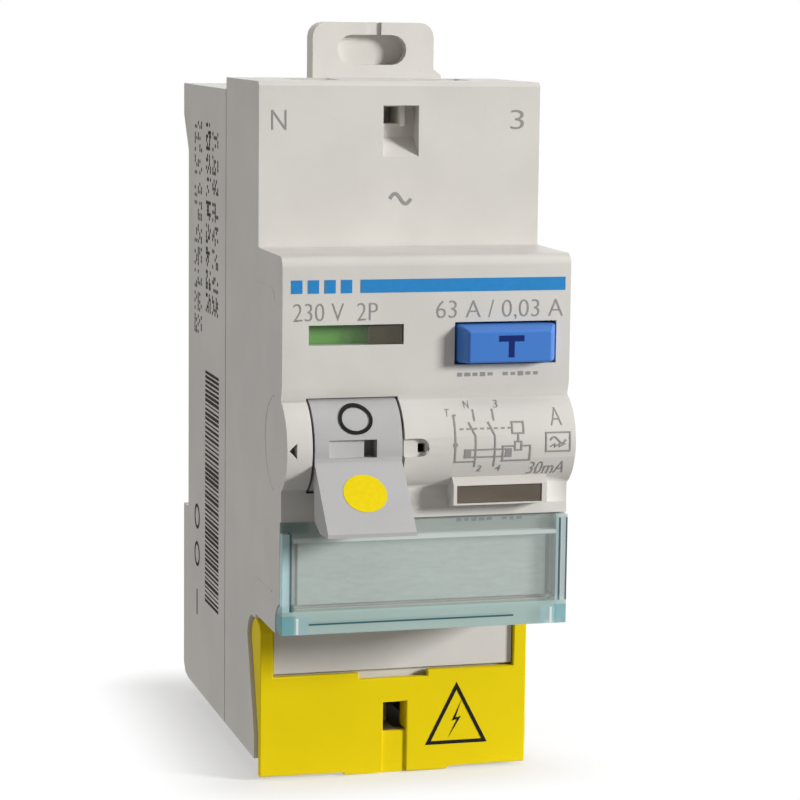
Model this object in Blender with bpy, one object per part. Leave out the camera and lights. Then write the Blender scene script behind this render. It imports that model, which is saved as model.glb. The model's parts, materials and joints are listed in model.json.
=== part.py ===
"""Two-module residual current device for a 35 mm top-hat rail, modelled piece by piece.

Frame: X to the right, the front faces -Y, Z is up.  The origin is on the plane where the rail's
flange seats, midway across the width, level with the rail's centre line.
All sizes below are in millimetres and the meshes are written in metres.
"""
import math

import bmesh
import bpy
from mathutils import Vector

MM = 0.001

# ---------------------------------------------------------------- driving dimensions (mm)
WIDTH = 35.5                # two 17.5 mm modules and the moulding's draft
HALF = WIDTH / 2
WALL = 1.55
INNER = HALF - WALL
CLEAR = 0.3                 # gap between pieces that touch
RUNNING = 0.1               # radial gap of a shaft in its bore

PARTING_Y = -25.0           # where the base and the front cover meet
BODY_TOP = 41.0
COVER_TOP = 42.5
BODY_BOTTOM = -41.45
SHOULDER_Y = -44.5          # front of the upper block
STEP_Z = 22.6               # where the upper block meets the middle block
NOSE_Y = -57.64             # front of the middle block
NOSE_BOTTOM = -22.9
APRON_Y = -43.9             # front of the lower block, between the cover's arms
PLATE_SEAT_Y = -43.2        # front of the lower block, behind the terminal cover's plate

DRUM_Y = -54.7              # the toggle's axis
DRUM_R = 6.0
CHAMFER_TOP = 7.16
VALLEY_TOP = 5.5
VALLEY_BOTTOM = -5.3

HOOK_Y = 2.95               # how far the hooks reach behind the seat
SEAT_HALF = 14.0            # half the raised seat's side

POLE_X = 8.4                # centre of each pole
TERMINAL_Z = -35.2          # height of the lower terminals' screws
CLIP_X = 8.0                # centre of the rail clip
CLIP_HALF = 8.6
TAB_TOP = 49.5
RIVETS = ((-14.8, 36.5), (14.8, 16.2), (-14.8, -20.0), (14.8, -20.0))   # x, z

COVER_PIVOT = (-42.0, -26.4)        # y, z of the terminal cover's hinge
FLAP_PIVOT = (-57.3, -21.6)         # y, z of the label flap's hinge
CARRIER_PIVOT = (-36.0, 2.0)        # y, z of the moving contacts' shaft
CRANK_PIVOT = (-52.1, -0.6)         # y, z of the link's pin in the toggle
LEVER_PIVOT = (-37.0, -4.0)         # y, z of the link's pin in the contact carrier
TRIP_PIVOT = (-28.0, -13.0)         # y, z of the trip lever's pin

# ---------------------------------------------------------------- finishes
FINISHES = {
    "shell_grey": ((0.60, 0.58, 0.55), 0.5, 0.0),
    "toggle_grey": ((0.45, 0.45, 0.46), 0.45, 0.0),
    "cover_yellow": ((0.75, 0.56, 0.01), 0.45, 0.0),
    "button_blue": ((0.05, 0.18, 0.52), 0.4, 0.0),
    "clear_aqua": ((0.65, 0.80, 0.80), 0.12, 0.0),
    "clear_window": ((0.70, 0.74, 0.74), 0.15, 0.0),
    "label_paper": ((0.62, 0.66, 0.65), 0.8, 0.0),
    "flag_green": ((0.12, 0.30, 0.08), 0.5, 0.0),
    "flag_dark": ((0.16, 0.13, 0.11), 0.5, 0.0),
    "inner_white": ((0.70, 0.70, 0.68), 0.5, 0.0),
    "inner_black": ((0.04, 0.04, 0.04), 0.5, 0.0),
    "spring_steel": ((0.55, 0.55, 0.56), 0.3, 1.0),
    "zinc_steel": ((0.62, 0.62, 0.60), 0.35, 1.0),
    "copper": ((0.72, 0.36, 0.20), 0.3, 1.0),
    "board_green": ((0.03, 0.18, 0.08), 0.4, 0.0),
    "resistor_tan": ((0.55, 0.42, 0.26), 0.5, 0.0),
    "core_blue": ((0.05, 0.10, 0.25), 0.5, 0.0),
}


def finish(name: str) -> bpy.types.Material:
    """Returns the Principled material of that name, made on first use."""
    material = bpy.data.materials.get(name)
    if material is None:
        colour, roughness, metallic = FINISHES[name]
        material = bpy.data.materials.new(name)
        material.use_nodes = True
        shader = material.node_tree.nodes["Principled BSDF"]
        shader.inputs["Base Color"].default_value = (*colour, 1.0)
        shader.inputs["Roughness"].default_value = roughness
        shader.inputs["Metallic"].default_value = metallic
        material.diffuse_color = (*colour, 1.0)
    return material


# ---------------------------------------------------------------- mesh helpers
def place(name, bm, finish_name, origin=(0.0, 0.0, 0.0)):
    """Turns a bmesh in millimetres into an object in metres, with its origin at the given point."""
    bmesh.ops.recalc_face_normals(bm, faces=bm.faces)
    bmesh.ops.translate(bm, verts=bm.verts, vec=-Vector(origin))
    bmesh.ops.scale(bm, verts=bm.verts, vec=(MM, MM, MM))
    mesh = bpy.data.meshes.new(name)
    bm.to_mesh(mesh)
    bm.free()
    mesh.materials.append(finish(finish_name))
    piece = bpy.data.objects.new(name, mesh)
    piece.location = Vector(origin) * MM
    bpy.context.scene.collection.objects.link(piece)
    return piece


def prism_mesh(outline, low, high, axis="X"):
    """Extrudes a closed outline between two positions along an axis.

    The outline's pairs are (y, z) along X, (x, z) along Y and (x, y) along Z.
    """
    spread = {
        "X": lambda a, b, t: (t, a, b),
        "Y": lambda a, b, t: (a, t, b),
        "Z": lambda a, b, t: (a, b, t),
    }[axis]
    bm = bmesh.new()
    ends = [[bm.verts.new(spread(a, b, t)) for a, b in outline] for t in (low, high)]
    bm.faces.new(ends[0])
    bm.faces.new(list(reversed(ends[1])))
    count = len(outline)
    for i in range(count):
        j = (i + 1) % count
        bm.faces.new((ends[0][i], ends[1][i], ends[1][j], ends[0][j]))
    return bm


def box_mesh(x, y, z):
    """A block from three (low, high) pairs."""
    return prism_mesh([(y[0], z[0]), (y[1], z[0]), (y[1], z[1]), (y[0], z[1])], x[0], x[1])


def disc(centre, radius, segments, start=0.0, sweep=360.0):
    """Points on an arc, or on a full circle when the sweep is 360 degrees."""
    steps = segments if sweep >= 360.0 else segments + 1
    return [
        (centre[0] + radius * math.cos(math.radians(start + sweep * i / segments)),
         centre[1] + radius * math.sin(math.radians(start + sweep * i / segments)))
        for i in range(steps)
    ]


def rounded(low, high, radius, segments=4):
    """A rectangle with round corners, from its low and high corners."""
    corners = [
        ((high[0] - radius, high[1] - radius), 0.0), ((low[0] + radius, high[1] - radius), 90.0),
        ((low[0] + radius, low[1] + radius), 180.0), ((high[0] - radius, low[1] + radius), 270.0),
    ]
    return [p for centre, start in corners for p in disc(centre, radius, segments, start, 90.0)]


def rod_mesh(centre, radius, low, high, axis="X", segments=20):
    """A round bar along an axis."""
    return prism_mesh(disc(centre, radius, segments), low, high, axis)


def turned_mesh(profile, centre, segments=32):
    """A ring turned about Z from a closed (radius, z) profile that stays off the axis."""
    bm = bmesh.new()
    rings = []
    for i in range(segments):
        angle = 2 * math.pi * i / segments
        rings.append([
            bm.verts.new((centre[0] + r * math.cos(angle), centre[1] + r * math.sin(angle), z))
            for r, z in profile
        ])
    for i in range(segments):
        near, far = rings[i], rings[(i + 1) % segments]
        for j in range(len(profile)):
            k = (j + 1) % len(profile)
            bm.faces.new((near[j], far[j], far[k], near[k]))
    return bm


def coil_mesh(centre, radius, wire, low, high, turns, axis="Z", per_turn=12, sides=6):
    """A compression spring whose wire stays between two positions along an axis."""
    turn_axes = {"Z": (0, 1, 2), "Y": (0, 2, 1), "X": (1, 2, 0)}[axis]
    steps = turns * per_turn
    start, end = low + wire, high - wire
    rise = (end - start) / (2 * math.pi * turns * radius)
    tilt = math.atan(rise)
    bm = bmesh.new()
    rings = []
    for i in range(steps + 1):
        angle = 2 * math.pi * i / per_turn
        ring = []
        for s in range(sides):
            around = 2 * math.pi * s / sides
            out, along = wire * math.cos(around), wire * math.sin(around)
            a = (radius + out) * math.cos(angle) + along * math.sin(tilt) * math.sin(angle)
            b = (radius + out) * math.sin(angle) - along * math.sin(tilt) * math.cos(angle)
            c = start + (end - start) * i / steps + along * math.cos(tilt)
            point = [0.0, 0.0, 0.0]
            point[turn_axes[0]] = centre[0] + a
            point[turn_axes[1]] = centre[1] + b
            point[turn_axes[2]] = c
            ring.append(bm.verts.new(point))
        rings.append(ring)
    for near, far in zip(rings, rings[1:]):
        for s in range(sides):
            t = (s + 1) % sides
            bm.faces.new((near[s], far[s], far[t], near[t]))
    bm.faces.new(rings[0])
    bm.faces.new(list(reversed(rings[-1])))
    return bm


def combine(piece, bm, operation, label):
    """Cuts a shape from a piece, or joins it on, with a Boolean on a hidden helper object."""
    bmesh.ops.recalc_face_normals(bm, faces=bm.faces)
    bmesh.ops.scale(bm, verts=bm.verts, vec=(MM, MM, MM))
    mesh = bpy.data.meshes.new(f"{piece.name}_{label}")
    bm.to_mesh(mesh)
    bm.free()
    helper = bpy.data.objects.new(mesh.name, mesh)
    helper.hide_render = True
    helper.display_type = "WIRE"
    bpy.context.scene.collection.objects.link(helper)
    modifier = piece.modifiers.new(label, "BOOLEAN")
    modifier.operation = operation
    modifier.solver = "EXACT"
    modifier.object = helper
    return piece


def cut(piece, bm, label):
    """Cuts a shape in millimetres out of a piece."""
    return combine(piece, bm, "DIFFERENCE", label)


def add(piece, bm, label):
    """Joins a shape in millimetres to a piece."""
    return combine(piece, bm, "UNION", label)


def sides():
    """Yields each pole's name and the sign of its X."""
    return (("left", -1), ("right", 1))


# ---------------------------------------------------------------- housing
def front_outline():
    """The front cover's outline in the (y, z) plane, clockwise from the top of the parting."""
    round_r = 1.3
    nose_top = STEP_Z - 0.1
    corner = disc((NOSE_Y + round_r, nose_top - round_r), round_r, 4, 90.0, 90.0)
    top = math.degrees(math.asin(VALLEY_TOP / DRUM_R))
    bottom = math.degrees(math.asin(VALLEY_BOTTOM / DRUM_R))
    drum = disc((DRUM_Y, 0.0), DRUM_R, 14, 180.0 - top, top - bottom)
    return [
        (PARTING_Y - CLEAR, COVER_TOP), (SHOULDER_Y + 0.5, COVER_TOP), (SHOULDER_Y, COVER_TOP - 0.5),
        (SHOULDER_Y, STEP_Z), (-45.5, nose_top), *corner, (NOSE_Y, CHAMFER_TOP), *drum,
        (-57.55, -7.6), (NOSE_Y, -8.9), (-56.9, -8.95), (-56.9, -20.2), (-56.2, -20.4),
        (-56.2, NOSE_BOTTOM),
        (APRON_Y, NOSE_BOTTOM), (APRON_Y, -30.7), (PLATE_SEAT_Y, -30.75),
        (PLATE_SEAT_Y, BODY_BOTTOM), (PARTING_Y - CLEAR, BODY_BOTTOM),
    ]


def front_hollow():
    """The inside of the front cover, one wall in from its outline."""
    drum = disc((DRUM_Y, 0.0), DRUM_R - 1.4, 10, 108.0, 144.0)
    return [
        (PARTING_Y + 1.0, BODY_TOP), (SHOULDER_Y + 1.5, BODY_TOP), (SHOULDER_Y + 1.5, STEP_Z - 1.6),
        (NOSE_Y + 1.5, STEP_Z - 1.6), (NOSE_Y + 1.5, 4.6), *drum, (-56.1, -4.5), (-56.1, -7.0),
        (-54.8, -8.6), (-54.8, -21.3), (-41.7, -21.3), (-41.7, -39.9), (PARTING_Y + 1.0, -39.9),
    ]


def make_front_cover():
    """The front half of the housing, with every window, hole and hinge seat cut in it."""
    cover = place("front_cover", prism_mesh(front_outline(), -HALF, HALF), "shell_grey")
    cut(cover, prism_mesh(front_hollow(), -INNER, INNER), "hollow")
    add(cover, box_mesh((-0.7, 0.7), (-43.6, -25.4), (21.6, 41.5)), "upper_rib")
    add(cover, box_mesh((-0.7, 0.7), (-42.3, -25.4), (-40.4, -20.8)), "lower_rib")
    # sealing pocket in the upper block, with a ramp for its floor, a square hole and a lip beside it
    add(cover, box_mesh((-2.9, 2.9), (-43.8, -41.2), (32.8, 40.4)), "seal_back")
    cut(cover, prism_mesh([(-46.0, 39.65), (-46.0, 33.45), (SHOULDER_Y, 33.45), (-42.0, 35.6),
                           (-42.0, 39.65)], -2.25, 2.25), "seal_pocket")
    cut(cover, box_mesh((-2.05, 0.35), (-43.0, -38.0), (37.35, 39.45)), "seal_square")
    add(cover, box_mesh((0.35, 0.8), (-43.3, -41.6), (37.1, 39.65)), "seal_lip")
    # contact window, fault window and button holes
    cut(cover, box_mesh((-14.55, -3.0), (-60.0, -55.0), (12.0, 14.4)), "contact_window_hole")
    cut(cover, box_mesh((3.3, 16.0), (-60.0, -55.0), (9.4, 14.5)), "button_hole")
    add(cover, prism_mesh([(-56.9, -3.2), (-59.3, -3.9), (-60.1, -4.7), (-60.1, -7.2), (-56.9, -7.7)],
                          2.7, 14.4), "fault_bezel")
    cut(cover, box_mesh((3.15, 13.75), (-62.0, -55.0), (-7.0, -4.85)), "fault_window_hole")
    # toggle opening and the lock groove beside it
    cut(cover, rod_mesh((DRUM_Y, 0.0), DRUM_R + 0.25, -14.7, -3.5, "X", 36), "toggle_opening")
    groove = rounded((-4.2, -1.1), (-0.5, 1.1), 1.09)
    cut(cover, prism_mesh(groove, -62.0, -60.05, "Y"), "lock_groove")
    cut(cover, box_mesh((-1.8, -0.85), (-60.3, -59.1), (-0.65, 0.45)), "lock_hole")
    cut(cover, prism_mesh([(-17.5, 0.1), (-16.55, -0.9), (-16.55, 0.95)], -62.0, -58.4, "Y"), "drum_notch")
    # recess for the label and the hinge seats of the flap
    cut(cover, box_mesh((-15.9, 15.9), (-58.0, -56.0), (-19.6, -11.2)), "label_recess")
    hinge_y = FLAP_PIVOT[0]
    for name, sign in sides():
        x = sign * POLE_X
        near, far = sorted((sign * 15.8, sign * 19.0))
        seat = [(-60.0, -18.8), (hinge_y, -18.8), *reversed(disc(FLAP_PIVOT, 2.65, 6, 0.0, 70.0)),
                (hinge_y + 2.65, -24.0), (-60.0, -24.0)]
        cut(cover, prism_mesh(seat, near, far), f"flap_seat_{name}")
        near, far = sorted((sign * 14.9, sign * 15.9))
        lug = [(-55.6, -22.2), (hinge_y, -22.2), *disc(FLAP_PIVOT, 0.72, 8, -110.0, -140.0),
               (hinge_y, -21.0), (-55.6, -21.0)]
        add(cover, prism_mesh(lug, near, far), f"flap_lug_{name}")
        near, far = sorted((sign * 14.0, sign * 16.5))
        cut(cover, rod_mesh(FLAP_PIVOT, 0.5, near, far, "X", 12), f"flap_pivot_bore_{name}")
        # boss, slot and bore for the terminal cover's arm
        near, far = sorted((sign * 13.4, sign * 16.3))
        add(cover, box_mesh((near, far), (-43.0, -39.4), (-28.8, -24.2)), f"cover_boss_{name}")
        cheek = disc(COVER_PIVOT, 2.9, 10, -35.0, 130.0)
        slot = [(PLATE_SEAT_Y, -43.0), (PLATE_SEAT_Y, -38.5), (-41.3, -33.0), *cheek,
                (-46.0, -23.4), (-46.0, -43.0)]
        near, far = sorted((sign * 15.45, sign * 19.0))
        cut(cover, prism_mesh(slot, near, far), f"cheek_slot_{name}")
        near, far = sorted((sign * 13.9, sign * 16.0))
        cut(cover, rod_mesh(COVER_PIVOT, 0.9, near, far, "X", 12), f"cover_pivot_bore_{name}")
        cut(cover, rod_mesh((x, TERMINAL_Z), 3.7, -45.0, -40.5, "Y", 24), f"screw_hole_{name}")
        cut(cover, box_mesh((x - 3.6, x + 3.6), (-32.6, -26.6), (-43.0, -39.0)), f"wire_entry_{name}")
        cut(cover, box_mesh((x - 3.2, x + 3.2), (-35.2, -28.6), (40.0, 44.0)), f"top_entry_{name}")
    # hole behind the terminal cover's sealing hole, with room for the hole's collar
    cut(cover, box_mesh((-1.3, 2.6), (-45.0, -38.0), (-39.0, -34.2)), "seal_hole")
    return cover


def make_rear_base():
    """The rear half of the housing, with the rail recess, the hooks and the clip's channel."""
    outline = [
        (PARTING_Y, BODY_TOP), (3.1, BODY_TOP), (3.1, 36.8), (-0.3, 32.0), (-0.3, -17.2),
        (HOOK_Y, -17.2), (HOOK_Y, -39.9), (1.8, BODY_BOTTOM + 0.35), (-0.5, BODY_BOTTOM),
        (PARTING_Y, BODY_BOTTOM),
    ]
    base = place("rear_base", prism_mesh(outline, -HALF, HALF), "shell_grey")
    hollow = [(-27.0, 39.4), (-4.6, 39.4), (-4.6, 19.0), (-1.8, 18.6), (-1.8, -39.9), (-27.0, -39.9)]
    cut(base, prism_mesh(hollow, -INNER, INNER), "hollow")
    add(base, box_mesh((-0.7, 0.7), (-24.9, -4.2), (21.6, 40.0)), "upper_rib")
    add(base, box_mesh((-0.7, 0.7), (-24.9, -1.4), (-40.4, -20.8)), "lower_rib")
    add(base, box_mesh((-SEAT_HALF, SEAT_HALF), (-0.8, 0.0), (-SEAT_HALF, SEAT_HALF)), "rail_seat")
    for name, sign in sides():
        near, far = sorted((sign * 3.0, sign * 13.5))
        add(base, prism_mesh([(1.35, -17.6), (HOOK_Y - 0.01, -17.6), (HOOK_Y - 0.01, -15.6),
                              (2.0, -15.3), (1.35, -15.6)], near, far), f"hook_lip_{name}")
    # channel for the rail clip, open at the top and the back, and the pocket of its spring
    low, high = CLIP_X - CLIP_HALF - CLEAR, CLIP_X + CLIP_HALF + CLEAR
    cut(base, box_mesh((low, high), (-0.9, 5.0), (19.0, 43.0)), "clip_channel")
    cut(base, box_mesh((CLIP_X - 2.4, CLIP_X + 2.4), (-4.0, 0.5), (24.0, 37.0)), "clip_spring_pocket")
    return base


def make_rivets(base, cover):
    """Four rivets that hold the base to the front cover, with the posts they pass through."""
    for index, (x, z) in enumerate(RIVETS, 1):
        near, far = sorted((math.copysign(13.3, x), math.copysign(16.6, x)))
        add(base, box_mesh((near, far), (-24.9, -1.4), (z - 1.8, z + 1.8)), f"post_{index}")
        add(cover, box_mesh((near, far), (-34.0, -25.4), (z - 1.8, z + 1.8)), f"post_{index}")
        cut(base, rod_mesh((x, z), 1.1, -26.0, 4.0, "Y", 16), f"bore_{index}")
        cut(base, rod_mesh((x, z), 1.4, -1.6, 4.0, "Y", 16), f"head_bore_{index}")
        cut(cover, rod_mesh((x, z), 1.1, -33.0, -24.0, "Y", 16), f"bore_{index}")
        rivet = place(f"housing_rivet_{index}", rod_mesh((x, z), 0.9, -32.6, -1.0, "Y", 16), "zinc_steel")
        add(rivet, rod_mesh((x, z), 1.25, -1.3, -0.5, "Y", 16), "head")


# ---------------------------------------------------------------- outer moving pieces
def toggle_profile():
    """The toggle's outline: a round drum with a wedge-shaped lever on its front."""
    bend = math.degrees(math.atan2(-1.5, -5.76)) % 360.0
    under = math.degrees(math.atan2(-3.6, -4.7)) % 360.0
    drum = disc((DRUM_Y, 0.0), DRUM_R - 0.05, 48, under, 360.0 - (under - bend))
    return [*drum, (-66.9, -8.35), (-67.3, -8.75), (-67.3, -9.2), (-63.3, -9.35), (-60.6, -8.3),
            (-60.2, -5.0)]


def make_toggle():
    """The toggle, its shaft and the pin that drives the link."""
    axis = (0.0, DRUM_Y, 0.0)
    toggle = place("toggle", prism_mesh(toggle_profile(), -14.4, -3.8), "toggle_grey", axis)
    cut(toggle, rod_mesh((DRUM_Y, 0.0), 1.3, -15.0, -3.0), "shaft_bore")
    cut(toggle, box_mesh((-9.9, -8.3), (-53.6, -47.0), (-7.0, 7.0)), "link_slot")
    cut(toggle, rod_mesh(CRANK_PIVOT, 0.7, -11.5, -6.9, "X", 12), "crank_bore")
    front = DRUM_Y - DRUM_R
    slot = [(-12.7, front - 1.0), (-6.9, front - 1.0), (-6.9, front + 2.8), (-7.9, front + 2.8),
            (-8.3, front + 0.8), (-12.7, front + 0.55)]
    cut(toggle, prism_mesh(slot, -1.0, 1.15, "Z"), "lock_slot")
    place("toggle_shaft", rod_mesh((DRUM_Y, 0.0), 1.2, -16.0, 0.7), "zinc_steel", axis)
    place("crank_pin", rod_mesh(CRANK_PIVOT, 0.6, -11.4, -7.0, "X", 12), "zinc_steel", axis)
    place("toggle_spring", coil_mesh((DRUM_Y, 0.0), 2.2, 0.3, -2.1, 0.5, 3, "X"), "spring_steel", axis)


def make_test_button():
    """The test button with its bevelled cap, its flange and its stem."""
    bm = bmesh.new()
    back = [(3.6, 9.7), (15.7, 9.7), (15.7, 14.2), (3.6, 14.2)]
    front = [(4.5, 9.75), (14.9, 9.75), (14.9, 13.55), (4.5, 13.55)]
    layers = [[bm.verts.new((x, y, z)) for x, z in ring]
              for ring, y in ((back, -54.9), (back, -58.0), (front, -59.6))]
    for near, far in zip(layers, layers[1:]):
        for i in range(4):
            j = (i + 1) % 4
            bm.faces.new((near[i], near[j], far[j], far[i]))
    bm.faces.new(layers[0])
    bm.faces.new(list(reversed(layers[-1])))
    button = place("test_button", bm, "button_blue", (9.7, -57.0, 12.0))
    add(button, box_mesh((2.5, 16.0), (-55.7, -54.6), (8.4, 15.4)), "flange")
    add(button, rod_mesh((9.7, 11.9), 1.0, -55.2, -47.2, "Y", 16), "stem")
    spring = coil_mesh((9.7, 11.9), 1.9, 0.25, -54.2, -49.0, 5, "Y")
    place("test_spring", spring, "spring_steel")


def make_terminal_cover():
    """The hinged cover over the lower terminals: plate, two arms, two cheeks and a sealing hole."""
    pivot = (0.0, *COVER_PIVOT)
    front, back = SHOULDER_Y, SHOULDER_Y + 1.0
    half = 17.3
    top, bottom = -31.0, -43.6
    plate = [
        (-half, bottom), (-6.4, bottom), (-6.4, bottom - 0.4), (7.0, bottom - 0.4), (7.0, bottom),
        (half, bottom), (half, top), (4.3, top), (4.3, top - 0.8), (-4.6, top - 0.8), (-4.6, top),
        (-half, top),
    ]
    cover = place("terminal_cover", prism_mesh(plate, front, back, "Y"), "cover_yellow", pivot)
    for name, sign in sides():
        near, far = sorted((sign * 15.6, sign * half))
        cheek = disc(COVER_PIVOT, 2.5, 10, -30.0, 120.0)
        arm = [(front, -42.8), (back, -42.8), (back, -38.6), (-41.65, -33.1), *cheek,
               (front + 0.9, -24.3), (front, -25.2)]
        add(cover, prism_mesh(arm, near, far), f"arm_{name}")
        near, far = sorted((sign * 14.1, sign * 16.0))
        add(cover, rod_mesh(COVER_PIVOT, 0.75, near, far, "X", 12), f"pivot_{name}")
    cut(cover, box_mesh((-1.45, 1.6), (-45.5, -43.0), (-38.7, -34.9)), "seal_hole")
    add(cover, box_mesh((1.6, 2.3), (back - 0.4, back + 2.4), (-38.7, -34.9)), "seal_collar")
    cut(cover, box_mesh((-1.45, 1.6), (-45.5, front + 0.35), (-45.0, -38.0)), "seal_groove")


def make_label_flap():
    """The clear flap over the label: a pane with a rim and two hinge knuckles."""
    pivot = (0.0, *FLAP_PIVOT)
    top, bottom = -9.05, -22.5
    flap = place("label_flap", box_mesh((-HALF, HALF), (-58.26, -57.2), (bottom, top)), "clear_aqua", pivot)
    cut(flap, box_mesh((-16.2, 16.2), (-57.75, -56.5), (-19.6, -11.1)), "pane_thinning")
    for name, sign in sides():
        near, far = sorted((sign * 14.6, sign * 16.2))
        cut(flap, box_mesh((near, far), (-58.08, -56.0), (-23.0, -20.5)), f"lug_notch_{name}")
        near, far = sorted((sign * 16.1, sign * HALF))
        knuckle = [(-58.2, bottom), (-56.4, bottom), *disc(FLAP_PIVOT, 2.3, 6, -10.0, 80.0),
                   (-57.0, -19.2), (-58.2, -19.2)]
        add(flap, prism_mesh(knuckle, near, far), f"knuckle_{name}")
        near, far = sorted((sign * 14.4, sign * 16.6))
        add(flap, rod_mesh(FLAP_PIVOT, 0.4, near, far, "X", 12), f"pivot_{name}")
    place("label_card", box_mesh((-15.5, 15.5), (-56.65, -56.3), (-19.2, -11.5)), "label_paper")


def make_rail_clip():
    """The sliding rail clip: a tab above the housing, a plate, and a jaw behind the rail's flange."""
    low, high = CLIP_X - CLIP_HALF, CLIP_X + CLIP_HALF
    tab = rounded((low, 40.0), (high, TAB_TOP), 2.0)
    clip = place("rail_clip", prism_mesh(tab, -0.6, 2.8, "Y"), "shell_grey", (CLIP_X, 0.0, 40.0))
    add(clip, prism_mesh([(low, 41.3), (high + 1.1, 41.3), (high + 1.1, 42.3), (high, 43.2),
                          (low, 43.2)], -0.55, 2.75, "Y"), "shoulder")
    add(clip, box_mesh((low, high), (0.0, 2.85), (18.2, 41.9)), "plate")
    jaw = [(1.4, 15.9), (2.0, 15.6), (2.85, 15.9), (2.85, 18.6), (1.4, 18.6)]
    add(clip, prism_mesh(jaw, low, high), "jaw")
    add(clip, box_mesh((CLIP_X - 1.8, CLIP_X + 1.8), (-3.6, 0.5), (24.4, 25.8)), "spring_lug")
    pocket = rounded((2.9, 43.7), (12.7, 47.8), 2.04)
    cut(clip, prism_mesh(pocket, -2.0, 1.6, "Y"), "tab_pocket")
    cut(clip, box_mesh((7.0, 9.1), (-2.0, -0.2), (46.0, 51.0)), "tab_groove")
    place("rail_clip_spring", coil_mesh((CLIP_X, -2.1), 1.35, 0.25, 26.1, 36.7, 7), "spring_steel")


# ---------------------------------------------------------------- windows and flags
def make_windows_and_flags():
    """The two clear windows and the coloured flags that slide behind them."""
    place("contact_window", box_mesh((-14.4, -3.15), (-57.5, -56.5), (12.15, 14.25)), "clear_window")
    place("contact_flag", box_mesh((-14.3, -6.6), (-55.4, -54.8), (11.8, 17.4)), "flag_green")
    place("fault_window", box_mesh((3.25, 13.65), (-60.0, -57.0), (-6.9, -4.95)), "clear_window")
    place("fault_flag", box_mesh((3.3, 13.6), (-54.4, -53.8), (-7.5, -2.4)), "flag_dark")


# ---------------------------------------------------------------- switching mechanism
def make_mechanism_frame():
    """The inner frame that carries the toggle's shaft and the contact carrier's shaft."""
    y, z = CARRIER_PIVOT
    frame = place("mechanism_frame", box_mesh((-15.8, 15.8), (-43.6, -42.4), (-6.0, 14.0)), "inner_white")
    for label, near, far in (("front_left", -15.8, -14.9), ("front_right", -3.3, -2.4)):
        add(frame, box_mesh((near, far), (-56.4, -43.0), (-3.2, 3.2)), label)
    for label, near, far in (("back_left", -15.8, -14.9), ("back_right", 14.9, 15.8)):
        add(frame, box_mesh((near, far), (-43.0, y + 2.5), (z - 3.0, z + 3.0)), label)
    cut(frame, rod_mesh((DRUM_Y, 0.0), 1.3, -17.0, -1.0), "toggle_shaft_bore")
    cut(frame, rod_mesh(CARRIER_PIVOT, 1.1, -17.0, 17.0), "carrier_shaft_bore")
    cut(frame, box_mesh((-11.0, -7.0), (-45.0, -41.0), (-7.0, 3.0)), "link_window")
    for label, near, far in (("spring_arm_left", 6.6, 7.6), ("spring_arm_right", 11.8, 12.8)):
        add(frame, box_mesh((near, far), (-48.6, -43.0), (9.6, 13.6)), label)
    add(frame, box_mesh((6.6, 12.8), (-48.8, -48.0), (9.4, 14.4)), "spring_seat")
    cut(frame, rod_mesh((9.7, 11.9), 1.4, -50.0, -47.0, "Y", 16), "stem_hole")
    place("carrier_shaft", rod_mesh(CARRIER_PIVOT, 1.0, -15.9, 15.9), "zinc_steel",
          (0.0, *CARRIER_PIVOT))


def make_drive_link():
    """The flat link from the toggle's crank to the contact carrier's lever."""
    (y0, z0), (y1, z1) = CRANK_PIVOT, LEVER_PIVOT
    heading = math.degrees(math.atan2(z1 - z0, y1 - y0))
    outline = disc(LEVER_PIVOT, 1.6, 8, heading - 90.0, 180.0)
    outline += disc(CRANK_PIVOT, 1.1, 8, heading + 90.0, 180.0)
    link = place("drive_link", prism_mesh(outline, -9.5, -8.7), "zinc_steel", (-9.1, *CRANK_PIVOT))
    cut(link, rod_mesh(CRANK_PIVOT, 0.7, -11.0, -7.0, "X", 12), "crank_eye")
    # the eye is slotted, because the two arcs that its ends follow don't keep one distance
    eye = disc((y1 - 0.2, z1 + 0.12), 0.8, 6, 90.0, 180.0)
    eye += disc((y1 + 0.35, z1 + 0.12), 0.8, 6, -90.0, 180.0)
    cut(link, prism_mesh(eye, -11.0, -7.0), "lever_eye")
    place("lever_pin", rod_mesh(LEVER_PIVOT, 0.5, -11.2, -7.0, "X", 12), "zinc_steel",
          (0.0, *CARRIER_PIVOT))


def make_contacts():
    """The contact carrier on its shaft, with each pole's arm, contacts and arc chute."""
    y, z = CARRIER_PIVOT
    hub = [(y - 2.6, z - 2.4), (y + 2.6, z - 2.4), (y + 2.6, z + 3.4), (y - 2.6, z + 3.4)]
    carrier = place("contact_carrier", prism_mesh(hub, -13.0, 13.0), "inner_black", (0.0, y, z))
    ears = [(y - 2.4, z), (y - 2.4, z - 7.1), (y + 0.6, z - 7.4), (y + 0.6, z)]
    add(carrier, prism_mesh(ears, -11.3, -6.9), "lever_ears")
    cut(carrier, box_mesh((-9.9, -8.3), (y - 5.0, y + 1.0), (z - 9.0, z - 2.8)), "link_slot")
    cut(carrier, rod_mesh(CARRIER_PIVOT, 1.0 + RUNNING, -16.0, 16.0), "shaft_bore")
    cut(carrier, rod_mesh(LEVER_PIVOT, 0.6, -12.0, -6.0, "X", 12), "lever_bore")
    for name, sign in sides():
        x = sign * POLE_X
        cut(carrier, box_mesh((x - 1.8, x + 1.8), (y - 0.9, y + 0.9), (z + 1.7, z + 5.0)), f"socket_{name}")
        near, far = sorted((sign * 13.3, sign * 14.6))
        place(f"carrier_spring_{name}", coil_mesh(CARRIER_PIVOT, 1.7, 0.22, near, far, 2, "X"),
              "spring_steel", (0.0, y, z))
        make_moving_arm(name, x)
        make_fixed_contact(name, x)
        make_arc_chute(name, x)


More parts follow.
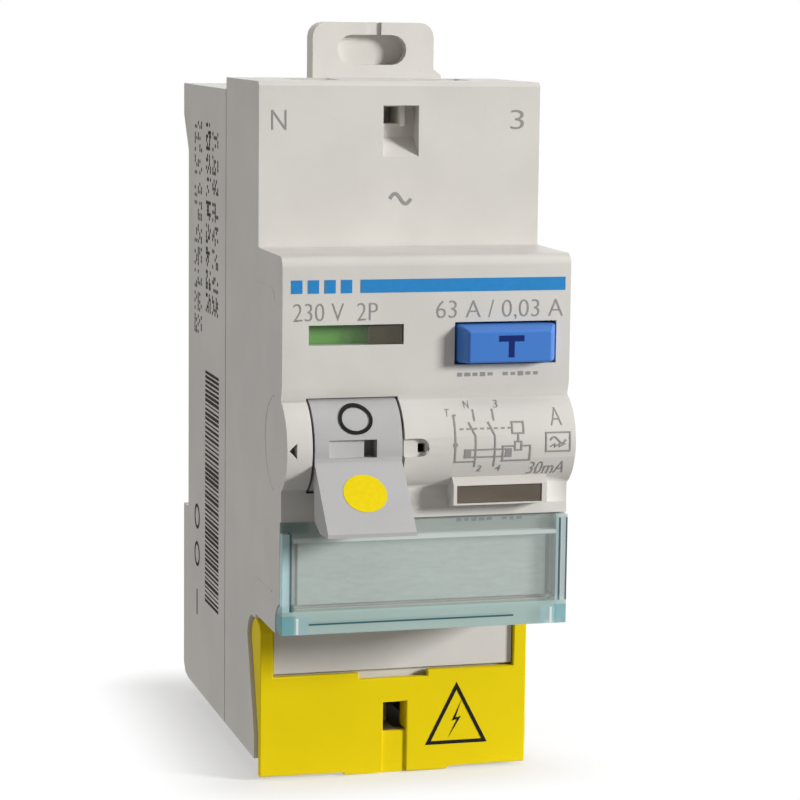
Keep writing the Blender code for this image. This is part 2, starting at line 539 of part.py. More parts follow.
def make_moving_arm(name, x):
    """A pole's moving arm: it stands in the carrier's socket and leans back to its contact."""
    y, z = CARRIER_PIVOT
    arm = [(y - 0.6, z + 2.0), (y - 0.6, z + 6.2), (y + 3.8, z + 12.0), (y + 3.8, z + 14.8),
           (y + 4.8, z + 14.8), (y + 4.8, z + 11.6), (y + 0.6, z + 5.8), (y + 0.6, z + 2.0)]
    piece = place(f"moving_arm_{name}", prism_mesh(arm, x - 1.5, x + 1.5), "copper", (x, y, z))
    add(piece, box_mesh((x - 1.2, x + 1.2), (y + 4.5, y + 5.6), (z + 12.6, z + 14.6)), "contact_tip")


def make_fixed_contact(name, x):
    """The bar from an upper terminal down to the pole's fixed contact."""
    piece = place(f"fixed_contact_{name}", box_mesh((x - 2.6, x + 2.6), (-25.6, -24.6), (11.0, 38.5)),
                  "copper")
    add(piece, box_mesh((x - 1.4, x + 1.4), (-26.3, -25.2), (12.0, 15.4)), "contact_tip")


def make_arc_chute(name, x):
    """A pole's arc chute: a back wall with a stack of splitter plates on it."""
    chute = place(f"arc_chute_{name}", box_mesh((x - 4.2, x + 4.2), (-41.2, -40.2), (17.6, 26.9)),
                  "zinc_steel")
    for index in range(5):
        z = 17.9 + 2.0 * index
        add(chute, box_mesh((x - 4.0, x + 4.0), (-40.5, -33.0), (z, z + 0.7)), f"splitter_{index + 1}")


# ---------------------------------------------------------------- terminals
def make_upper_terminals():
    """Each pole's upper clamp: a cage round the bar's end and a leaf that grips the conductor."""
    for name, sign in sides():
        x = sign * POLE_X
        cage = place(f"upper_cage_{name}", box_mesh((x - 4.6, x + 4.6), (-37.2, -23.6), (30.5, 38.0)),
                     "zinc_steel")
        cut(cage, box_mesh((x - 3.8, x + 3.8), (-36.3, -24.3), (29.0, 40.0)), "throat")
        leaf = [(-36.0, 37.6), (-36.0, 31.4), (-35.4, 31.0), (-28.0, 35.6), (-28.3, 36.2),
                (-35.4, 31.8), (-35.4, 37.6)]
        place(f"upper_leaf_{name}", prism_mesh(leaf, x - 3.0, x + 3.0), "spring_steel")


def make_lower_terminals():
    """Each pole's lower clamp: a bar, a cage that the screw draws forward, and the screw."""
    z = TERMINAL_Z
    for name, sign in sides():
        x = sign * POLE_X
        place(f"terminal_bar_{name}", box_mesh((x - 3.1, x + 3.1), (-33.8, -32.7), (z - 3.6, -24.5)),
              "copper")
        cage = place(f"terminal_cage_{name}", box_mesh((x - 4.7, x + 4.7), (-35.9, -23.3), (z - 3.9, z + 3.9)),
                     "zinc_steel", (x, -30.0, z))
        cut(cage, box_mesh((x - 3.5, x + 3.5), (-34.7, -24.5), (z - 6.0, z + 6.0)), "throat")
        cut(cage, rod_mesh((x, z), 2.5, -37.0, -34.0, "Y", 16), "thread")
        screw = place(f"terminal_screw_{name}", rod_mesh((x, z), 3.3, -41.2, -38.8, "Y", 24), "zinc_steel",
                      (x, -40.0, z))
        add(screw, rod_mesh((x, z), 2.3, -39.2, -34.1, "Y", 16), "shank")
        cut(screw, box_mesh((x - 4.0, x + 4.0), (-42.0, -40.2), (z - 0.5, z + 0.5)), "slot")
        cut(screw, box_mesh((x - 0.5, x + 0.5), (-42.0, -40.2), (z - 2.2, z + 2.2)), "cross_slot")


# ---------------------------------------------------------------- sensing and tripping
def make_sensing():
    """The summation transformer, its case, and the conductor of each pole that passes through it."""
    centre = (0.0, -13.5)
    place("transformer_core", turned_mesh([(5.4, -15.0), (10.0, -15.0), (10.0, -8.2), (5.4, -8.2)], centre),
          "core_blue")
    case = [(4.2, -16.6), (11.2, -16.6), (11.2, -7.4), (10.3, -7.4), (10.3, -15.3), (5.1, -15.3),
            (5.1, -7.4), (4.2, -7.4)]
    place("transformer_case", turned_mesh(case, centre), "inner_white")
    for name, sign in sides():
        path = [
            (sign * 11.6, -29.6, 1.5), (sign * 11.4, -27.0, -2.0), (sign * 9.0, -20.0, -3.6),
            (sign * 3.4, -14.2, -4.4), (sign * 2.1, -13.5, -6.4), (sign * 2.1, -13.5, -12.0),
            (sign * 2.1, -13.5, -18.0), (sign * 3.6, -16.0, -20.4), (sign * 7.0, -26.0, -22.2),
            (sign * POLE_X, -31.2, -23.0), (sign * POLE_X, -31.4, -27.0),
        ]
        place_wire(f"primary_conductor_{name}", path, 0.95, "copper")


def place_wire(name, points, radius, finish_name):
    """A round conductor along a smooth route, as a bevelled curve with closed ends."""
    curve = bpy.data.curves.new(name, "CURVE")
    curve.dimensions = "3D"
    curve.bevel_depth = radius * MM
    curve.bevel_resolution = 2
    curve.use_fill_caps = True
    route = smooth_route(points, 3)
    spline = curve.splines.new("POLY")
    spline.points.add(len(route) - 1)
    for target, point in zip(spline.points, route):
        target.co = (*(point * MM), 1.0)
    curve.materials.append(finish(finish_name))
    wire = bpy.data.objects.new(name, curve)
    bpy.context.scene.collection.objects.link(wire)
    return wire


def smooth_route(points, steps):
    """Points on a Catmull-Rom curve through the given ones."""
    knots = [Vector(p) for p in points]
    knots = [knots[0] * 2 - knots[1], *knots, knots[-1] * 2 - knots[-2]]
    route = []
    for a, b, c, d in zip(knots, knots[1:], knots[2:], knots[3:]):
        for i in range(steps):
            t = i / steps
            route.append(0.5 * (2 * b + (c - a) * t + (2 * a - 5 * b + 4 * c - d) * t ** 2
                                + (3 * b - a - 3 * c + d) * t ** 3))
    route.append(knots[-2])
    return route


def make_tripping():
    """The trip relay with its plunger, and the lever that it pushes."""
    relay = place("trip_relay", box_mesh((2.2, 15.4), (-19.0, -4.0), (-38.6, -25.0)), "inner_white")
    cut(relay, rod_mesh((11.8, -10.0), 1.5, -34.0, -24.0, "Z", 16), "plunger_bore")
    place("relay_plunger", rod_mesh((11.8, -10.0), 1.2, -33.0, -20.6, "Z", 16), "zinc_steel",
          (11.8, -10.0, -25.0))
    y, z = TRIP_PIVOT
    lever = [(-9.0, -20.2), (-9.0, -19.0), (-20.0, -15.4), (y + 1.6, z + 1.6), (y - 1.6, z + 1.8),
             (-46.0, -7.6), (-53.2, -8.6), (-53.2, -10.0), (-46.0, -9.4), (y - 1.8, z - 1.8),
             (y + 1.8, z - 2.0), (-20.0, -17.0)]
    trip = place("trip_lever", prism_mesh(lever, 11.35, 12.8), "inner_black", (0.0, y, z))
    cut(trip, rod_mesh(TRIP_PIVOT, 0.9 + RUNNING, 11.0, 15.0, "X", 16), "pin_bore")
    place("trip_lever_pin", rod_mesh(TRIP_PIVOT, 0.9, 10.8, 16.0, "X", 16), "zinc_steel")


def make_electronics():
    """The circuit board with its parts, and the leaf that the test button closes."""
    place("circuit_board", box_mesh((-15.6, -2.2), (-19.2, -18.2), (-38.6, -23.4)), "board_green")
    place("board_capacitor", rod_mesh((-11.6, -28.6), 2.6, -17.9, -9.0, "Y", 20), "core_blue")
    place("test_resistor", rod_mesh((-5.2, -16.2), 1.25, -36.6, -27.4, "Z", 16), "resistor_tan")
    leaf = [(-46.7, -3.0), (-46.4, -3.0), (-46.4, 13.4), (-46.7, 13.4)]
    place("test_contact_leaf", prism_mesh(leaf, 8.3, 11.1), "copper", (9.7, -46.55, -2.0))


def main():
    """Builds the whole device."""
    for old in list(bpy.data.objects):
        bpy.data.objects.remove(old, do_unlink=True)
    make_rivets(make_rear_base(), make_front_cover())
    make_toggle()
    make_test_button()
    make_terminal_cover()
    make_label_flap()
    make_rail_clip()
    make_windows_and_flags()
    make_mechanism_frame()
    make_drive_link()
    make_contacts()
    make_upper_terminals()
    make_lower_terminals()
    make_sensing()
    make_tripping()
    make_electronics()


main()
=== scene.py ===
"""Two-module residual current device for a top-hat rail: the finished look of every piece.

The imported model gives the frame: X to the right, the front faces -Y and Z is up, in metres.  Each
sub-assembly is a class whose fields are its sizes in millimetres; its methods build the meshes and
dress them.  Finishes are small classes that write a procedural material.
"""

import json
import logging
import math
from collections.abc import Callable, Iterable, Sequence
from dataclasses import dataclass
from enum import Enum
from typing import Any, NamedTuple

import bmesh
import bpy
from mathutils import Matrix, Vector
from mathutils.bvhtree import BVHTree


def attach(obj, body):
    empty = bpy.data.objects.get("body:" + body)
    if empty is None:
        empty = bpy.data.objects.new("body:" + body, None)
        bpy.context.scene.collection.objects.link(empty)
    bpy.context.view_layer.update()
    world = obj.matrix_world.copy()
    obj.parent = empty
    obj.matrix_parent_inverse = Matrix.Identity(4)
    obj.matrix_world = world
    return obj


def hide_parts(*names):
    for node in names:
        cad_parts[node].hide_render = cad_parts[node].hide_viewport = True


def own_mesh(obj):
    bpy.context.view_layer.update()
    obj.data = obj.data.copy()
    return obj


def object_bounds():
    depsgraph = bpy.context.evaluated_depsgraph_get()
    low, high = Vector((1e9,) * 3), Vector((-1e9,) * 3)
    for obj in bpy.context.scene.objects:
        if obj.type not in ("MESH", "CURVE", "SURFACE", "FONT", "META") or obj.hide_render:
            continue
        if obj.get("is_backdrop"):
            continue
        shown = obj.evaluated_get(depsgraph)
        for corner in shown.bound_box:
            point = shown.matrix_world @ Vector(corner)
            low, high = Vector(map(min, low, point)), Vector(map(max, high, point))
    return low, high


LOG = logging.getLogger("residual_current_device")

MM = 0.001

HALF_WIDTH = 17.75          # half the housing's width
SHOULDER_Y = -44.5          # front of the upper block
NOSE_Y = -57.64             # front of the middle block
DRUM_Y = -54.7              # the toggle's axis, level with the rail's centre
DRUM_R = 6.0
PRINT_LIFT = 0.01           # how far a print's back stands off the surface
PRINT_DEPTH = 0.025         # thickness of a print
SMOOTH_BELOW = 40.0         # edges with a smaller angle, in degrees, are shaded smooth
MERGE_WITHIN = 0.004        # points nearer than this become one
FLAT_WITHIN = 0.6           # faces that turn by less, in degrees, become one
EASED_LENGTH = 0.5          # the shortest edge that is rounded
EASED_ANGLE = 32.0          # the smallest angle between faces that is rounded, in degrees
RAY_START = 0.02            # how far off an edge a ray starts
SHARPEST_MITRE = 0.35       # the least cosine that a mitred corner is drawn for

Point2 = tuple[float, float]
Point3 = tuple[float, float, float]
Colour = tuple[float, float, float]
Surface = Callable[[float, float], Point3]

FORWARD: Point3 = (0.0, -1.0, 0.0)
LEFTWARD: Point3 = (-1.0, 0.0, 0.0)
WHITE_LIGHT = (1.0, 1.0, 1.0, 1.0)


class Body(Enum):
    """The bodies of the moving model that pieces ride on."""

    HOUSING = "housing"
    TOGGLE = "toggle_body"
    BUTTON = "test_button_body"
    FLAP = "label_flap_body"
    COVER = "terminal_cover_body"
    CLIP = "rail_clip_body"
    SCREW_LEFT = "screw_left_body"
    SCREW_RIGHT = "screw_right_body"


class Slot(Enum):
    """The record's material slots, whose finishes dress the imported nodes."""

    SHELL = "shell_grey"
    TOGGLE = "toggle_grey"
    YELLOW = "cover_yellow"
    BLUE = "button_blue"
    AQUA = "clear_aqua"
    WINDOW = "clear_window"
    PAPER = "label_paper"
    GREEN_FLAG = "flag_green"
    DARK_FLAG = "flag_dark"
    WHITE = "inner_white"
    BLACK = "inner_black"
    SPRING = "spring_steel"
    ZINC = "zinc_steel"
    COPPER = "copper"
    BOARD = "board_green"
    RESISTOR = "resistor_tan"
    CORE = "core_blue"


# ---------------------------------------------------------------- nodes
class Wire:
    """A node's output socket that takes part in Python arithmetic."""

    def __init__(self, graph: "Graph", socket: bpy.types.NodeSocket) -> None:
        """Wraps a socket of a graph."""
        self.graph = graph
        self.socket = socket

    def __getitem__(self, output: str) -> "Wire":
        """Returns another output of the same node."""
        return Wire(self.graph, self.socket.node.outputs[output])

    def math(self, operation: str, *others: Any) -> "Wire":
        """Returns a Math node of this value and the others.

        Args:
            operation: The Math node's operation.
            others: Its further values, numbers or wires.

        Returns:
            The result.
        """
        return self.graph.node("ShaderNodeMath", dict(enumerate((self, *others))), operation=operation)

    def __add__(self, other: Any) -> "Wire":
        """Returns self + other."""
        return self.math("ADD", other)

    __radd__ = __add__

    def __sub__(self, other: Any) -> "Wire":
        """Returns self - other."""
        return self.math("SUBTRACT", other)

    def __rsub__(self, other: Any) -> "Wire":
        """Returns other - self."""
        return self.graph.node("ShaderNodeMath", {0: other, 1: self}, operation="SUBTRACT")

    def __mul__(self, other: Any) -> "Wire":
        """Returns self * other."""
        return self.math("MULTIPLY", other)

    __rmul__ = __mul__

    def __truediv__(self, other: Any) -> "Wire":
        """Returns self / other."""
        return self.math("DIVIDE", other)

    def __lt__(self, other: Any) -> "Wire":
        """Returns 1 where self is below other, else 0."""
        return self.math("LESS_THAN", other)

    def ramp(self, low: float, high: float) -> "Wire":
        """Returns 0 below low, 1 above high and a smooth step between."""
        return self.graph.node("ShaderNodeMapRange", {"Value": self, "From Min": low, "From Max": high},
                               interpolation_type="SMOOTHSTEP")


class Graph:
    """Adds nodes to a shader tree or a Geometry Nodes tree."""

    def __init__(self, tree: bpy.types.NodeTree) -> None:
        """Starts on a tree, whose old nodes are dropped."""
        self.tree = tree
        tree.nodes.clear()

    def node(self, kind: str, sockets: dict[str | int, Any] | None = None, **settings: Any) -> Wire:
        """Adds one node.

        Args:
            kind: The node's type.
            sockets: Values or wires for its inputs, by name or index.
            settings: Its own settings, which are set first.

        Returns:
            Its first output, or a wire on None for a node with no outputs.
        """
        node = self.tree.nodes.new(kind)
        for key, value in settings.items():
            setattr(node, key, value)
        for key, value in (sockets or {}).items():
            target = node.inputs[key]
            if isinstance(value, Wire):
                self.tree.links.new(value.socket, target)
            else:
                target.default_value = value
        return Wire(self, next((socket for socket in node.outputs if socket.enabled), None))

    def place(self) -> Wire:
        """Returns the place on the piece, in metres."""
        return self.node("ShaderNodeTexCoord")["Object"]

    def axis(self, name: str) -> Wire:
        """Returns one coordinate of the place, in millimetres."""
        return self.node("ShaderNodeSeparateXYZ", {0: self.place()})[name] * (1 / MM)

    def noise(self, per_mm: float, detail: float = 2.0, stretch: Point3 = (1.0, 1.0, 1.0)) -> Wire:
        """Returns noise between 0 and 1 with that many cells to a millimetre."""
        vector = self.node("ShaderNodeVectorMath", {0: self.place(), 1: stretch}, operation="MULTIPLY")
        return self.node("ShaderNodeTexNoise", {"Vector": vector, "Scale": per_mm / MM, "Detail": detail})

    def mix(self, factor: Any, first: Any, second: Any) -> Wire:
        """Returns a colour between two, where a plain colour is a triple."""
        ends = [(*end, 1.0) if isinstance(end, tuple) else end for end in (first, second)]
        return self.node("ShaderNodeMix", {0: factor, 6: ends[0], 7: ends[1]}, data_type="RGBA")

    def bump(self, height: Wire, depth_mm: float) -> Wire:
        """Returns the normal of a surface with that relief."""
        return self.node("ShaderNodeBump", {"Height": height, "Distance": depth_mm * MM, "Strength": 1.0})


def shade(colour: Colour, factor: float) -> Colour:
    """Returns a colour made lighter or darker by a factor."""
    return (colour[0] * factor, colour[1] * factor, colour[2] * factor)


# ---------------------------------------------------------------- finishes
@dataclass(frozen=True)
class Finish:
    """A finish that writes its own procedural material."""

    name: str
    colour: Colour = (0.5, 0.5, 0.5)
    roughness: float = 0.5

    def sockets(self, graph: Graph) -> dict[str, Any]:
        """Makes what feeds the shader.

        Args:
            graph: The material's graph.

        Returns:
            Values and wires by socket name.
        """
        raise NotImplementedError

    def material(self) -> bpy.types.Material:
        """Finds the material, or makes it on first use.

        Returns:
            The material.
        """
        material = bpy.data.materials.get(self.name)
        if material is None:
            material = bpy.data.materials.new(self.name)
            material.use_nodes = True
            graph = Graph(material.node_tree)
            shader = graph.node("ShaderNodeBsdfPrincipled", self.sockets(graph))
            graph.node("ShaderNodeOutputMaterial", {"Surface": shader})
            material.diffuse_color = (*self.colour, 1.0)
        return material


@dataclass(frozen=True)
class MouldedPlastic(Finish):
    """Moulded plastic: a faint cloudiness, fine spark-eroded grain and uneven sheen."""

    grain_mm: float = 0.006
    mottle: float = 0.035
    sheen: float = 0.35
    clouds_per_mm: float = 0.09
    specks_per_mm: float = 2.2
    grains_per_mm: float = 3.2

    def sockets(self, graph: Graph) -> dict[str, Any]:
        """Makes what feeds the shader.

        Args:
            graph: The material's graph.

        Returns:
            Values and wires by socket name.
        """
        clouds = graph.noise(self.clouds_per_mm, 3.0)
        specks = graph.noise(self.specks_per_mm)
        tone = graph.mix(clouds.ramp(0.3, 0.7), shade(self.colour, 1 - self.mottle),
                         shade(self.colour, 1 + self.mottle))
        tone = graph.mix(specks.ramp(0.62, 0.8) * 0.35, tone, shade(self.colour, 0.86))
        return {
            "Base Color": tone,
            "Roughness": self.roughness + (specks - 0.5) * 0.12,
            "Normal": graph.bump(graph.noise(self.grains_per_mm, 3.0), self.grain_mm),
            "Specular IOR Level": self.sheen,
        }


@dataclass(frozen=True)
class ZonedPlastic(MouldedPlastic):
    """Moulded plastic in two colours that meet at a height, with painted shade that darkens it towards one
    end.
    """

    upper: Colour = (0.5, 0.1, 0.1)
    split_mm: float = 0.0
    split_soft: float = 0.05
    # painted shade: the stretch of X over which one end darkens, and the colour it darkens to
    painted_shade_end: Point2 = (30.0, 31.0)
    dark: Colour = (0.10, 0.09, 0.06)

    def sockets(self, graph: Graph) -> dict[str, Any]:
        """Makes what feeds the shader.

        Args:
            graph: The material's graph.

        Returns:
            Values and wires by socket name.
        """
        sockets = super().sockets(graph)
        above = graph.axis("Z").ramp(self.split_mm - self.split_soft, self.split_mm + self.split_soft)
        zoned = graph.mix(above, sockets["Base Color"], self.upper)
        # painted shade towards one end
        sockets["Base Color"] = graph.mix(graph.axis("X").ramp(*self.painted_shade_end), zoned, self.dark)
        return sockets


@dataclass(frozen=True)
class ClearPlastic(Finish):
    """Clear moulding: see-through in its pane, tinted and denser towards its rim."""

    rim_colour: Colour = (0.3, 0.5, 0.5)
    pane_alpha: float = 0.2
    rim_alpha: float = 0.75
    pane: tuple[Point2, Point2] = ((-16.0, 16.0), (-19.6, -11.1))
    soft: float = 0.35
    ior: float = 1.49

    def sockets(self, graph: Graph) -> dict[str, Any]:
        """Makes what feeds the shader.

        Args:
            graph: The material's graph.

        Returns:
            Values and wires by socket name.
        """
        (left, right), (low, high) = self.pane
        x, z, soft = graph.axis("X"), graph.axis("Z"), self.soft
        inside = (x.ramp(left - soft, left) * (1 - x.ramp(right, right + soft))
                  * z.ramp(low - soft, low) * (1 - z.ramp(high, high + soft)))
        streaks = graph.noise(0.45, 2.0, (0.15, 1.0, 1.0))
        return {
            "Base Color": graph.mix(inside, self.rim_colour, self.colour),
            "Roughness": self.roughness + streaks * 0.06,
            "Alpha": self.rim_alpha + inside * (self.pane_alpha - self.rim_alpha) + (streaks - 0.5) * 0.06,
            "Normal": graph.bump(graph.noise(0.12, 2.0), 0.03),
            "IOR": self.ior,
        }


class Strip(NamedTuple):
    """A rectangle of the front, in millimetres, where clear plastic looks different."""

    x: Point2
    z: Point2
    colour: Colour
    alpha: float


@dataclass(frozen=True)
class EdgedPlastic(ClearPlastic):
    """Clear moulding with painted shade along its cut edges, painted highlights on its steps and dense
    corners.
    """

    strips: tuple[Strip, ...] = ()
    strip_soft: float = 0.08

    def sockets(self, graph: Graph) -> dict[str, Any]:
        """Makes what feeds the shader.

        Args:
            graph: The material's graph.

        Returns:
            Values and wires by socket name.
        """
        sockets = super().sockets(graph)
        x, z, soft = graph.axis("X"), graph.axis("Z"), self.strip_soft
        for strip in self.strips:
            within = 1.0
            for along, (low, high) in ((x, strip.x), (z, strip.z)):
                within = along.ramp(low - soft, low) * (1 - along.ramp(high, high + soft)) * within
            sockets["Base Color"] = graph.mix(within, sockets["Base Color"], strip.colour)
            sockets["Alpha"] = sockets["Alpha"] + within * (strip.alpha - sockets["Alpha"])
        return sockets


@dataclass(frozen=True)
class PlainMetal(Finish):
    """Plated, drawn or rolled metal with fine lines, a cloudy plate and a few dull spots."""

    lines: Point3 = (1.0, 1.0, 12.0)

    def sockets(self, graph: Graph) -> dict[str, Any]:
        """Makes what feeds the shader.

        Args:
            graph: The material's graph.

        Returns:
            Values and wires by socket name.
        """
        lines = graph.noise(1.4, 3.0, self.lines)
        clouds = graph.noise(0.25, 3.0)
        return {
            "Base Color": graph.mix(clouds.ramp(0.3, 0.7), shade(self.colour, 0.82), self.colour),
            "Roughness": self.roughness + (clouds - 0.5) * 0.25,
            "Metallic": 1.0,
            "Normal": graph.bump(lines, 0.004),
        }


@dataclass(frozen=True)
class Ink(Finish):
    """Pad-printed ink, a little thin in places."""

    sheen: float = 0.15

    def sockets(self, graph: Graph) -> dict[str, Any]:
        """Makes what feeds the shader.

        Args:
            graph: The material's graph.

        Returns:
            Values and wires by socket name.
        """
        cover = graph.noise(1.6, 3.0)
        return {
            "Base Color": graph.mix(cover.ramp(0.35, 0.75), self.colour, shade(self.colour, 1.06)),
            "Roughness": self.roughness + (cover - 0.5) * 0.1,
            "Normal": graph.bump(cover, 0.001),
            "Specular IOR Level": self.sheen,
        }


@dataclass(frozen=True)
class Card(Finish):
    """Plain card with a faint fibre."""

    def sockets(self, graph: Graph) -> dict[str, Any]:
        """Makes what feeds the shader.

        Args:
            graph: The material's graph.

        Returns:
            Values and wires by socket name.
        """
        fibre = graph.noise(2.5, 4.0, (0.3, 1.0, 1.0))
        return {
            "Base Color": graph.mix(fibre.ramp(0.3, 0.7), shade(self.colour, 0.95), shade(self.colour, 1.04)),
            "Roughness": self.roughness,
            "Normal": graph.bump(fibre, 0.01),
        }


@dataclass(frozen=True)
class CircuitBoard(Finish):
    """Lacquered board with paler tracks and tinned pads."""

    tracks_per_mm: float = 0.45
    pads_per_mm: float = 0.55
    tin: Colour = (0.6, 0.6, 0.58)

    def sockets(self, graph: Graph) -> dict[str, Any]:
        """Makes what feeds the shader.

        Args:
            graph: The material's graph.

        Returns:
            Values and wires by socket name.
        """
        cells = {"Vector": graph.place(), "Scale": self.tracks_per_mm / MM}
        edges = graph.node("ShaderNodeTexVoronoi", cells, feature="DISTANCE_TO_EDGE")
        pads = graph.node("ShaderNodeTexVoronoi", {**cells, "Scale": self.pads_per_mm / MM})
        track = 1 - edges.ramp(0.04, 0.07)
        pad = 1 - pads.ramp(0.16, 0.2)
        tone = graph.mix(track, self.colour, shade(self.colour, 2.0))
        return {
            "Base Color": graph.mix(pad, tone, self.tin),
            "Roughness": self.roughness + pad * 0.1,
            "Metallic": pad,
            "Normal": graph.bump(track + pad, 0.03),
        }


# Painted shade: the dark lines along the flap's cut edges, along its bottom and in the slit of its lower
# rail.
PAINTED_EDGE_SHADE = (0.02, 0.10, 0.12)
# Painted highlight: the bright lines on the flap's steps.
PAINTED_STEP_HIGHLIGHT = (0.80, 0.88, 0.86)
AQUA_CORNER = (0.22, 0.50, 0.54)

FLAP_STRIPS = (
    Strip((-17.8, -16.7), (-23.2, -9.0), (0.56, 0.78, 0.80), 0.65),
    Strip((16.3, 17.8), (-23.2, -9.0), (0.62, 0.74, 0.74), 0.6),
    # painted shade lines along the flap's cut side edges
    Strip((-16.8, -16.6), (-23.2, -9.5), PAINTED_EDGE_SHADE, 0.75),
    Strip((16.65, 16.85), (-23.2, -9.5), PAINTED_EDGE_SHADE, 0.75),
    Strip((17.55, 17.8), (-23.2, -9.5), PAINTED_EDGE_SHADE, 0.8),
    # painted highlight along the top step of the pane
    Strip((-16.4, 16.3), (-11.35, -10.9), PAINTED_STEP_HIGHLIGHT, 0.55),
    Strip((-17.8, 17.8), (-23.2, -19.7), (0.52, 0.68, 0.64), 0.6),
    # painted shadow in the lower rail's slit, then painted shade along the bottom edge
    Strip((-16.3, 11.0), (-21.35, -21.2), PAINTED_EDGE_SHADE, 0.9),
    Strip((-17.8, 17.8), (-23.2, -22.75), PAINTED_EDGE_SHADE, 0.6),
    Strip((-17.8, -16.1), (-22.6, -20.2), AQUA_CORNER, 0.7),
    Strip((16.2, 17.8), (-22.6, -20.2), AQUA_CORNER, 0.7),
    Strip((-16.2, -14.5), (-22.6, -20.4), (0.45, 0.66, 0.68), 0.6),
    Strip((14.5, 16.2), (-22.6, -20.4), (0.50, 0.70, 0.72), 0.6),
    # painted highlights on the steps of the lower rail
    Strip((-15.95, -15.75), (-22.4, -20.5), PAINTED_STEP_HIGHLIGHT, 0.85),
    Strip((15.7, 15.9), (-22.4, -20.5), PAINTED_STEP_HIGHLIGHT, 0.85),
    # painted shade on the flap's top left corner
    Strip((-17.8, -14.5), (-10.2, -9.0), (0.06, 0.20, 0.19), 0.3),
)

# Painted shade: dark brown tints over the contact window's right end and over the fault window, where the
# dark inside shows.
WINDOW_PAINTED_SHADE = (
    Strip((-7.2, -2.9), (11.9, 14.5), (0.15, 0.135, 0.10), 0.5),
    Strip((3.1, 13.8), (-7.1, -4.7), (0.23, 0.19, 0.15), 0.55),
)


class Finishes(Enum):
    """Every finish on the device, by the maker's name for it."""

    SHELL = MouldedPlastic("shell_moulding", (0.655, 0.632, 0.592), 0.46)
    CLIP = MouldedPlastic("clip_moulding", (0.665, 0.643, 0.603), 0.44)
    TOGGLE = MouldedPlastic("toggle_moulding", (0.455, 0.45, 0.45), 0.4)
    YELLOW = MouldedPlastic("yellow_moulding", (0.82, 0.63, 0.001), 0.46, mottle=0.02, sheen=0.15)
    BLUE = MouldedPlastic("blue_moulding", (0.055, 0.20, 0.60), 0.36, mottle=0.02)
    WHITE = MouldedPlastic("white_moulding", (0.72, 0.71, 0.68), 0.5)
    BLACK = MouldedPlastic("black_moulding", (0.035, 0.035, 0.037), 0.45)
    # The contact flag's two colours, with painted shade darkening its right end from X -7.6 to -4.4 mm.
    GREEN_FLAG = ZonedPlastic("contact_flag_colours", (0.10, 0.33, 0.035), 0.5, upper=(0.55, 0.03, 0.02),
                              split_mm=14.75, painted_shade_end=(-7.6, -4.4))
    DARK_FLAG = ZonedPlastic("fault_flag_colours", (0.19, 0.16, 0.13), 0.5, upper=(0.75, 0.5, 0.02),
                             split_mm=-4.7)
    AQUA = EdgedPlastic("aqua_moulding", (0.52, 0.60, 0.57), 0.12, rim_colour=(0.36, 0.46, 0.44),
                        pane_alpha=0.22, rim_alpha=0.26, strips=FLAP_STRIPS)
    WINDOW = EdgedPlastic("window_moulding", (0.6, 0.6, 0.58), 0.12, rim_colour=(0.3, 0.28, 0.25),
                          pane_alpha=0.05, rim_alpha=0.12, pane=((-14.3, 13.5), (-6.9, 14.2)),
                          strips=WINDOW_PAINTED_SHADE)
    CARD = Card("plain_card", (0.66, 0.71, 0.68), 0.75)
    SPRING = PlainMetal("spring_wire", (0.55, 0.55, 0.56), 0.3, lines=(6.0, 6.0, 6.0))
    ZINC = PlainMetal("zinc_plate", (0.66, 0.65, 0.62), 0.34)
    COPPER = PlainMetal("bare_copper", (0.76, 0.40, 0.23), 0.3, lines=(12.0, 1.0, 1.0))
    BOARD = CircuitBoard("lacquered_board", (0.02, 0.13, 0.05), 0.35)
    RESISTOR = MouldedPlastic("ceramic_coat", (0.52, 0.39, 0.24), 0.6)
    CORE = MouldedPlastic("epoxy_coat", (0.04, 0.08, 0.24), 0.3)
    GREY_INK = Ink("grey_print", (0.30, 0.29, 0.28), 0.55)
    BLACK_INK = Ink("black_print", (0.012, 0.012, 0.013), 0.5)
    SIDE_INK = Ink("side_print_ink", (0.035, 0.028, 0.024), 0.6)
    BLUE_INK = Ink("blue_print", (0.027, 0.235, 0.56), 0.45)
    YELLOW_INK = Ink("yellow_print", (0.80, 0.62, 0.0), 0.6)
    MARK_INK = Ink("dark_blue_print", (0.006, 0.022, 0.15), 0.45)

    def material(self) -> bpy.types.Material:
        """Returns this finish's material."""
        return self.value.material()


SLOT_FINISHES: dict[Slot, Finishes] = {
    Slot.SHELL: Finishes.SHELL, Slot.TOGGLE: Finishes.TOGGLE, Slot.YELLOW: Finishes.YELLOW,
    Slot.BLUE: Finishes.BLUE, Slot.AQUA: Finishes.AQUA, Slot.WINDOW: Finishes.WINDOW,
    Slot.PAPER: Finishes.CARD, Slot.GREEN_FLAG: Finishes.GREEN_FLAG, Slot.DARK_FLAG: Finishes.DARK_FLAG,
    Slot.WHITE: Finishes.WHITE, Slot.BLACK: Finishes.BLACK, Slot.SPRING: Finishes.SPRING,
    Slot.ZINC: Finishes.ZINC, Slot.COPPER: Finishes.COPPER, Slot.BOARD: Finishes.BOARD,
    Slot.RESISTOR: Finishes.RESISTOR, Slot.CORE: Finishes.CORE,
}


